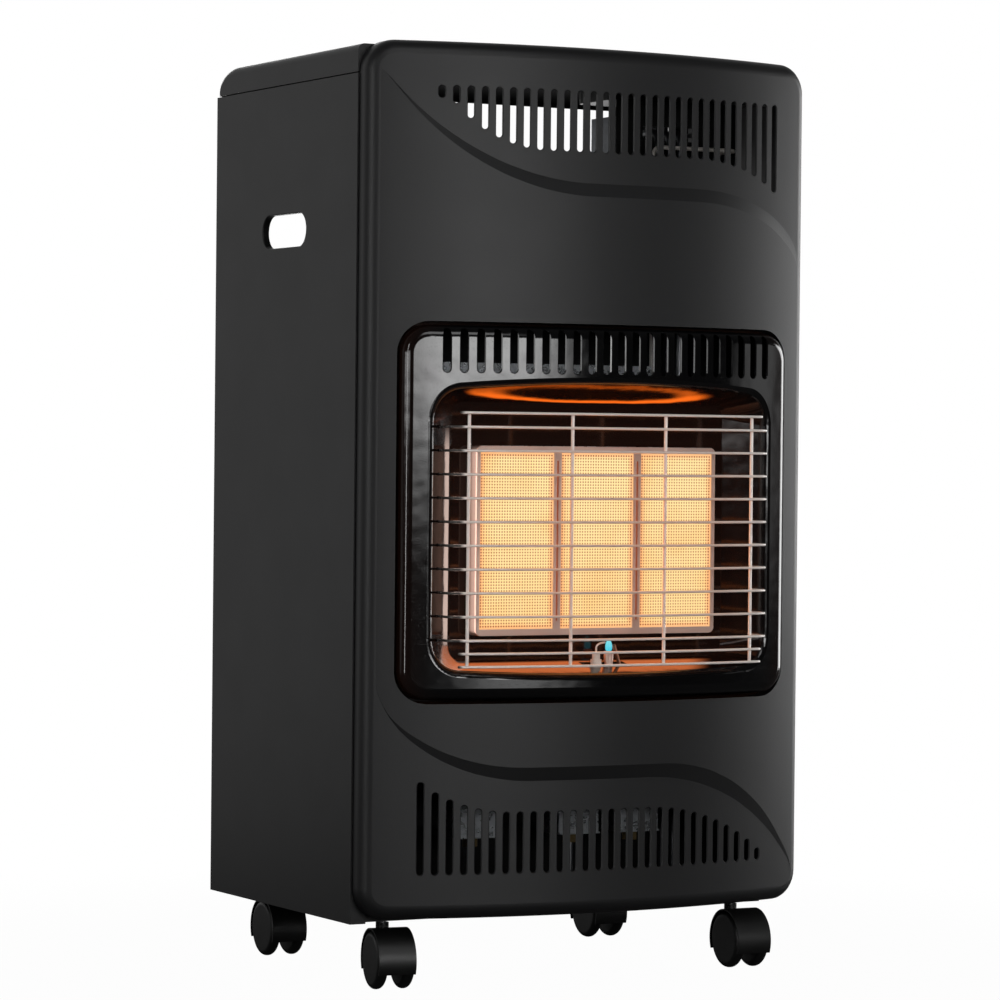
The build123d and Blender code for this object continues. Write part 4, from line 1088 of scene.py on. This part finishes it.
# ------------------------------------------------------------------ guard
@dataclass
class WireGuard:
    """Round-ended bars and uprights, drawn smoothly along the same bows as the CAD wires."""

    front_y: float = -155.0 * MM
    proud: float = 20.0 * MM
    bow_radius: float = 702.0 * MM
    bow_steps: int = 48
    bar_radius: float = 1.1 * MM
    upright_radius: float = 1.4 * MM
    upright_steps: int = 24
    upright_sides: int = 14
    weld_sink: float = 0.2 * MM
    long_half: float = 150.0 * MM
    short_half: float = 143.5 * MM
    bend: float = 5.0 * MM
    bend_steps: int = 8
    bend_lag: float = 0.9 * MM
    lowest: float = 287.2 * MM
    pitch: float = 19.2 * MM
    count: int = 10
    short_drops: tuple[float, ...] = (10.6 * MM, 21.2 * MM)
    top_rise: float = 11.5 * MM
    upright_places: tuple[float, ...] = (-134.9 * MM, -45.6 * MM, 42.4 * MM, 133.0 * MM)
    wall_run: float = 28.0 * MM
    smooth_angle: float = 50.0

    @property
    def bar_apex(self) -> float:
        """Y of the bars' centre line at its foremost point."""
        return self.front_y - self.proud + self.bar_radius

    def levels(self) -> tuple[list[float], list[float]]:
        """Heights of the wires.

        Returns:
            The heights of the long bars, then of the short ones.
        """
        long_levels = [self.lowest + i * self.pitch for i in range(self.count)]
        short_levels = [self.lowest - drop for drop in self.short_drops]
        short_levels.append(long_levels[-1] + self.top_rise)
        return long_levels, short_levels

    def bow(self, x: float, apex: float, radius: float) -> float:
        """Y of a bow at this X."""
        return apex + radius - math.sqrt(radius**2 - x**2)

    def _crown(self, half: float, z: float) -> list[Vector]:
        """Points along a bar's bow.

        Args:
            half: How far it reaches to each side.
            z: Its height.

        Returns:
            The points from left to right.
        """
        places = [-half + 2 * half * i / self.bow_steps for i in range(self.bow_steps + 1)]
        return [Vector((x, self.bow(x, self.bar_apex, self.bow_radius), z)) for x in places]

    def _long_bar(self, z: float) -> list[Vector]:
        """Points of a bar with both ends bent back.

        Args:
            z: Its height.

        Returns:
            The points from left to right.
        """
        crown = self._crown(self.long_half - self.bend, z)
        end = crown[-1]
        right = []
        for i in range(1, self.bend_steps + 1):
            angle = math.pi / 2 * i / self.bend_steps
            right.append(Vector((
                self.long_half - self.bend + self.bend * math.sin(angle),
                end.y + self.bend_lag + self.bend * (1 - math.cos(angle)),
                z,
            )))
        right.append(Vector((self.long_half, end.y + self.wall_run, z)))
        left = [Vector((-p.x, p.y, p.z)) for p in reversed(right)]
        return left + crown + right

    def _upright(self, x: float, levels: list[float]) -> list[Vector]:
        """Points of an upright, sunk a little into the bars in front of it.

        Args:
            x: Its place from the middle.
            levels: Heights of all the bars it crosses.

        Returns:
            The points from the bottom up.
        """
        apex = self.bar_apex + self.bar_radius + self.upright_radius - self.weld_sink
        radius = self.bow_radius + self.bar_apex - apex
        y = self.bow(x, apex, radius)
        low = min(levels) - self.bar_radius
        high = max(levels) + self.bar_radius
        steps = self.upright_steps
        return [Vector((x, y, low + (high - low) * i / steps)) for i in range(steps + 1)]

    def _hand_over(self, shape: Shaper, node: str) -> None:
        """Finishes wires that stand in for a CAD node.

        Args:
            shape: The wires.
            node: The CAD node that they replace.
        """
        piece = shape.finished(FINISHES.wire, "cabinet", self.smooth_angle)
        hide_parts(node)

    def build(self) -> None:
        """Makes the bars and the uprights."""
        long_levels, short_levels = self.levels()
        bars = Shaper("guard_wires")
        for z in long_levels:
            bars.tube(self._long_bar(z), self.bar_radius)
        for z in short_levels:
            bars.tube(self._crown(self.short_half, z), self.bar_radius)
        self._hand_over(bars, "guard_bars")
        uprights = Shaper("guard_upright_wires")
        for x in self.upright_places:
            path = self._upright(x, long_levels + short_levels)
            uprights.tube(path, self.upright_radius, self.upright_sides)
        self._hand_over(uprights, "guard_uprights")


# ------------------------------------------------------------------ pilot group
@dataclass
class PilotGroup:
    """The pilot flame and the bent spark wire, which the CAD leaves straight."""

    pilot: Point = (10.5 * MM, -135.0 * MM, 275.5 * MM)
    electrode: Point = (-1.5 * MM, -135.0 * MM, 278.6 * MM)
    wire_radius: float = 0.8 * MM
    wire_reach: float = 0.72
    wire_rise: float = 4.2 * MM
    wire_steps: int = 12
    # radius and rise, in millimetres
    flame_shape: tuple[tuple[float, float], ...] = (
        (0.0, 0.1), (2.2, 0.2), (2.9, 1.8), (3.0, 4.2),
        (2.6, 6.6), (1.7, 8.8), (0.7, 10.3), (0.0, 11.0),
    )
    flame_sides: int = 32
    flame_smooth: float = 60.0
    wire_smooth: float = 50.0

    def build(self) -> None:
        """Makes the flame and the spark wire's bent tip."""
        flame = Shaper("pilot_flame")
        profile = [(radius * MM, rise * MM) for radius, rise in self.flame_shape]
        flame.turned(profile, self.pilot, (0.0, 0.0, 1.0), self.flame_sides)
        flame.finished(FINISHES.flame, "cabinet", self.flame_smooth)
        tip = Shaper("spark_wire_tip")
        x, y, z = self.electrode
        reach = (self.pilot[0] - x) * self.wire_reach
        path = []
        for i in range(self.wire_steps + 1):
            angle = math.pi / 2 * i / self.wire_steps
            over = reach * (1 - math.cos(angle))
            path.append(Vector((x + over, y, z + self.wire_rise * math.sin(angle))))
        tip.tube(path, self.wire_radius)
        tip.finished(FINISHES.wire, "cabinet", self.wire_smooth)


# ------------------------------------------------------------------ studio
class LightCard:
    """A flat card of light that the camera doesn't see."""

    name: str
    colour: Colour
    strength: float

    def corners(self) -> list[Vector]:
        """The card's four corners, in order."""
        raise NotImplementedError

    def share(self, graph: Graph) -> Value:
        """How much of the light shows at each place of the card, made in the given graph."""
        raise NotImplementedError

    def hang(self) -> None:
        """Makes the card and hands it to the stage."""
        mesh = bmesh.new()
        mesh.faces.new([mesh.verts.new(corner) for corner in self.corners()])
        card = placed(self.name, mesh, self._material())
        card.visible_camera = False

    def _material(self) -> bpy.types.Material:
        """Light where the share says so, and clear elsewhere.

        Returns:
            The card's material.
        """
        material, graph = new_material(self.name)
        share = self.share(graph)
        inputs = {"Color": self.colour, "Strength": self.strength}
        glow = graph.node("ShaderNodeEmission", {}, inputs)[0]
        clear = graph.node("ShaderNodeBsdfTransparent", {}, {})[0]
        both = graph.node("ShaderNodeMixShader", {}, {0: share, 1: clear, 2: glow})[0]
        graph.node("ShaderNodeOutputMaterial", {}, {"Surface": both})
        return material


@dataclass(frozen=True)
class Softbox(LightCard):
    """A soft card with feathered edges, placed by its azimuth: 0 in front, positive towards +X."""

    name: str
    azimuth: float
    distance: float
    width: float
    low: float
    high: float
    strength: float
    feather: float
    side_feather: float
    colour: Colour = WHITE

    def _half_width(self) -> Vector:
        """Half the card's width as a vector along it."""
        turn = math.radians(self.azimuth)
        return Vector((math.cos(turn), math.sin(turn), 0.0)) * self.width / 2

    def corners(self) -> list[Vector]:
        """The corners of an upright card that faces the heater.

        Returns:
            The corners, from the lower left one round.
        """
        turn = math.radians(self.azimuth)
        middle = Vector((math.sin(turn), -math.cos(turn), 0.0)) * self.distance
        side = self._half_width()
        places = ((-1, self.low), (1, self.low), (1, self.high), (-1, self.high))
        return [middle + side * x + Vector((0, 0, z)) for x, z in places]

    def share(self, graph: Graph) -> Value:
        """Fades out towards the card's edges.

        Args:
            graph: The material's graph.

        Returns:
            1 in the card's middle and 0 at its edges.
        """
        place = graph.place()
        inputs = {0: place, 1: tuple(self._half_width().normalized())}
        across = graph.node("ShaderNodeVectorMath", {"operation": "DOT_PRODUCT"}, inputs)["Value"]
        _, _, z = graph.parts(place)
        half = self.width / 2
        level = abs(z - (self.low + self.high) / 2)
        tall = (self.high - self.low) / 2
        sideways = 1 - abs(across).ramp(half - self.side_feather, half)
        return sideways * (1 - level.ramp(tall - self.feather, tall))


@dataclass(frozen=True)
class FireGlow(LightCard):
    """A card of the fire's own light inside the cavity, which shines to the front only."""

    name: str
    place: Point
    size: tuple[float, float]
    strength: float
    colour: Colour
    side_fade: Range = (0.8, 1.0)
    end_fade: Range = (0.7, 1.0)

    def corners(self) -> list[Vector]:
        """The corners of an upright card that faces the front.

        Returns:
            The corners, from the lower left one round.
        """
        x, y, z = self.place
        half, tall = self.size[0] / 2, self.size[1] / 2
        turns = ((-1, -1), (1, -1), (1, 1), (-1, 1))
        return [Vector((x + half * i, y, z + tall * k)) for i, k in turns]

    def share(self, graph: Graph) -> Value:
        """Shows the front of the card only, as far as its outline says.

        Args:
            graph: The material's graph.

        Returns:
            The share of the light.
        """
        x, _, z = graph.parts(graph.place())
        across = (x - self.place[0]) * (2 / self.size[0])
        up = (z - self.place[2]) * (2 / self.size[1])
        fade = self.outline(graph, across, up)
        rear = graph.node("ShaderNodeNewGeometry", {}, {})["Backfacing"]
        return fade * (1 - rear)

    def outline(self, graph: Graph, across: Value, up: Value) -> Value:
        """A full patch that fades out at its edges; across and up run from -1 to 1."""
        sideways = 1 - abs(across).ramp(*self.side_fade)
        return sideways * (1 - abs(up).ramp(*self.end_fade))


@dataclass(frozen=True)
class FireRing(FireGlow):
    """Fire light in the form of an uneven ring, brighter at its top."""

    inner_fade: Range = (0.6, 0.8)
    outer_fade: Range = (0.86, 0.98)
    wobble_scale: float = 30.0
    wobble: float = 0.2
    rise: Range = (-0.3, 0.3)
    low_share: float = 0.45

    def outline(self, graph: Graph, across: Value, up: Value) -> Value:
        """A ring that wobbles in its radius and weakens downwards.

        Args:
            graph: The material's graph.
            across: Place across the card, from -1 to 1.
            up: Place up the card, from -1 to 1.

        Returns:
            The ring's share of the light.
        """
        wobble = (graph.noise(self.wobble_scale) - NOISE_MIDDLE) * self.wobble
        reach = (across * across + up * up) ** 0.5 + wobble
        band = reach.ramp(*self.inner_fade) * (1 - reach.ramp(*self.outer_fade))
        return band * (self.low_share + up.ramp(*self.rise) * (1 - self.low_share))


@dataclass
class Studio:
    """White floor and backdrop, soft lamps and the camera."""

    camera_place: Point = (-1.61203, -2.95082, 0.44135)
    yaw: float = 0.4946
    pitch: float = 0.0127
    roll: float = 0.0100
    focal_pixels: float = 3914.7
    image_pixels: float = 1000.0
    sensor: float = 36.0
    far: float = 60.0
    behind_range: Range = (0.1, 0.75)
    above_range: Range = (0.2, 1.0)
    room_light: float = 0.02
    room_behind: float = 0.1
    room_above: float = 0.02
    room_mirrored: float = 0.4
    floor_half: float = 14.0
    floor_squares: int = 8
    floor_dark: Colour = (0.055, 0.055, 0.055)
    floor_light: Colour = (0.065, 0.065, 0.065)
    floor_scale: float = 3.0
    floor_mirrored: float = 0.012
    floor_behind: float = 0.3
    floor_behind_range: Range = (0.3, 1.6)
    shadow_share: float = 0.02
    shadow_reach: Range = (0.08, 0.7)
    # name, azimuth, distance, width, low and high edge, strength, feather at ends and at sides
    lamps: tuple[Softbox, ...] = (
        Softbox("front_card", 2.0, 3.4, 2.6, 0.26, 1.15, 9.5, 0.36, 0.95),
        Softbox("low_card", 9.0, 3.4, 2.0, -0.14, 0.2, 3.0, 0.1, 0.9),
        Softbox("right_card", 90.0, 3.0, 2.0, -0.6, 1.4, 7.2, 0.3, 0.4),
        Softbox("right_fill", 61.0, 3.0, 0.8, 0.1, 1.0, 0.9, 0.3, 0.3),
        Softbox("left_strip", -66.0, 3.0, 0.35, -0.5, 1.8, 11.0, 0.12, 0.15),
        Softbox("vent_card", -67.0, 3.0, 3.3, 0.44, 0.78, 4.0, 0.12, 0.7),
        Softbox("back_card", 163.0, 3.0, 1.9, 0.1, 2.0, 7.0, 0.4, 0.4),
        Softbox("top_card", -6.0, 3.4, 2.6, 1.9, 4.4, 2.6, 0.6, 0.6),
    )
    # name, middle, width and height, strength, colour
    glows: tuple[FireGlow, ...] = (
        FireGlow("fire_glow", (0.0, -0.1338, 0.36725), (0.226, 0.146), 2.4, (1.0, 0.3, 0.06)),
        FireRing("arch_glow", (0.005, -0.1185, 0.4715), (0.248, 0.021), 5.0, (1.0, 0.16, 0.012)),
        FireGlow("lower_glow", (-0.012, -0.1185, 0.2755), (0.27, 0.013), 1.9, (1.0, 0.25, 0.075)),
        FireGlow("left_glow", (-0.1225, -0.1185, 0.365), (0.014, 0.2), 4.2, (1.0, 0.75, 0.65)),
    )

    def build(self) -> None:
        """Sets up the stage."""
        self._world()
        self._floor()
        for lamp in (*self.lamps, *self.glows):
            lamp.hang()
        self._camera()
        bpy.context.scene.view_settings.view_transform = "Standard"

    def _world(self) -> None:
        """White behind the heater and for the camera, and a dim room in front of it."""
        world = bpy.data.worlds.new("studio_world")
        bpy.context.scene.world = world
        world.use_nodes = True
        graph = Graph(world.node_tree)
        way = graph.node("ShaderNodeTexCoord", {}, {})["Generated"]
        _, y, z = graph.parts(way)
        path = graph.node("ShaderNodeLightPath", {}, {})
        behind = y.ramp(*self.behind_range)
        above = z.ramp(*self.above_range)
        room = self.room_light + behind * self.room_behind + above * self.room_above
        seen = path["Is Camera Ray"]
        reflected = path["Is Glossy Ray"] + path["Is Transmission Ray"]
        mirrored = reflected * behind * self.room_mirrored
        strength = seen + (1 - seen) * (room + mirrored)
        shader = graph.node("ShaderNodeBackground", {}, {"Color": WHITE, "Strength": strength})[0]
        graph.node("ShaderNodeOutputWorld", {}, {"Surface": shader})

    def _floor(self) -> None:
        """A pale floor that stays white to the camera but for the heater's shadow."""
        mesh = bmesh.new()
        count = self.floor_squares
        bmesh.ops.create_grid(mesh, x_segments=count, y_segments=count, size=self.floor_half)
        material, graph = new_material("pale_floor")
        path = graph.node("ShaderNodeLightPath", {}, {})
        x, y, _ = graph.parts(graph.place())
        near = 1 - (x * x + y * y).ramp(*self.shadow_reach)
        grain = graph.mix(graph.noise(self.floor_scale), self.floor_dark, self.floor_light)
        pale = graph.node("ShaderNodeBsdfDiffuse", {}, {"Color": grain})[0]
        glow = graph.node("ShaderNodeEmission", {}, {"Color": WHITE, "Strength": 1.0})[0]
        reflected = path["Is Glossy Ray"] + path["Is Transmission Ray"]
        bright = self.floor_mirrored + y.ramp(*self.floor_behind_range) * self.floor_behind
        share = path["Is Camera Ray"] * (1 - near * self.shadow_share) + reflected * bright
        both = graph.node("ShaderNodeMixShader", {}, {0: share, 1: pale, 2: glow})[0]
        graph.node("ShaderNodeOutputMaterial", {}, {"Surface": both})
        placed("studio_floor", mesh, material)

    def _camera(self) -> None:
        """Camera at the photograph's place and angle."""
        ahead = Vector((
            math.sin(self.yaw) * math.cos(self.pitch),
            math.cos(self.yaw) * math.cos(self.pitch),
            -math.sin(self.pitch),
        ))
        level = Vector((math.cos(self.yaw), -math.sin(self.yaw), 0.0))
        above = level.cross(ahead)
        right = level * math.cos(self.roll) + above * math.sin(self.roll)
        up = above * math.cos(self.roll) - level * math.sin(self.roll)
        data = bpy.data.cameras.new("photo_camera")
        data.sensor_width = self.sensor
        data.lens = self.focal_pixels / self.image_pixels * self.sensor
        data.clip_end = self.far
        camera = bpy.data.objects.new("photo_camera", data)
        turn = Matrix((right, up, -ahead)).transposed().to_4x4()
        camera.matrix_world = Matrix.Translation(self.camera_place) @ turn
        bpy.context.scene.collection.objects.link(camera)
        bpy.context.scene.camera = camera


def main() -> None:
    """Builds the dressed heater and the studio round it."""
    logging.basicConfig(level=logging.INFO, format="%(name)s: %(message)s")
    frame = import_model()
    CadSkins(frame["nodes"], frame["record"]).dress()
    Burner().build()
    WireGuard().build()
    PilotGroup().build()
    Studio().build()


if __name__ == "__main__":
    main()
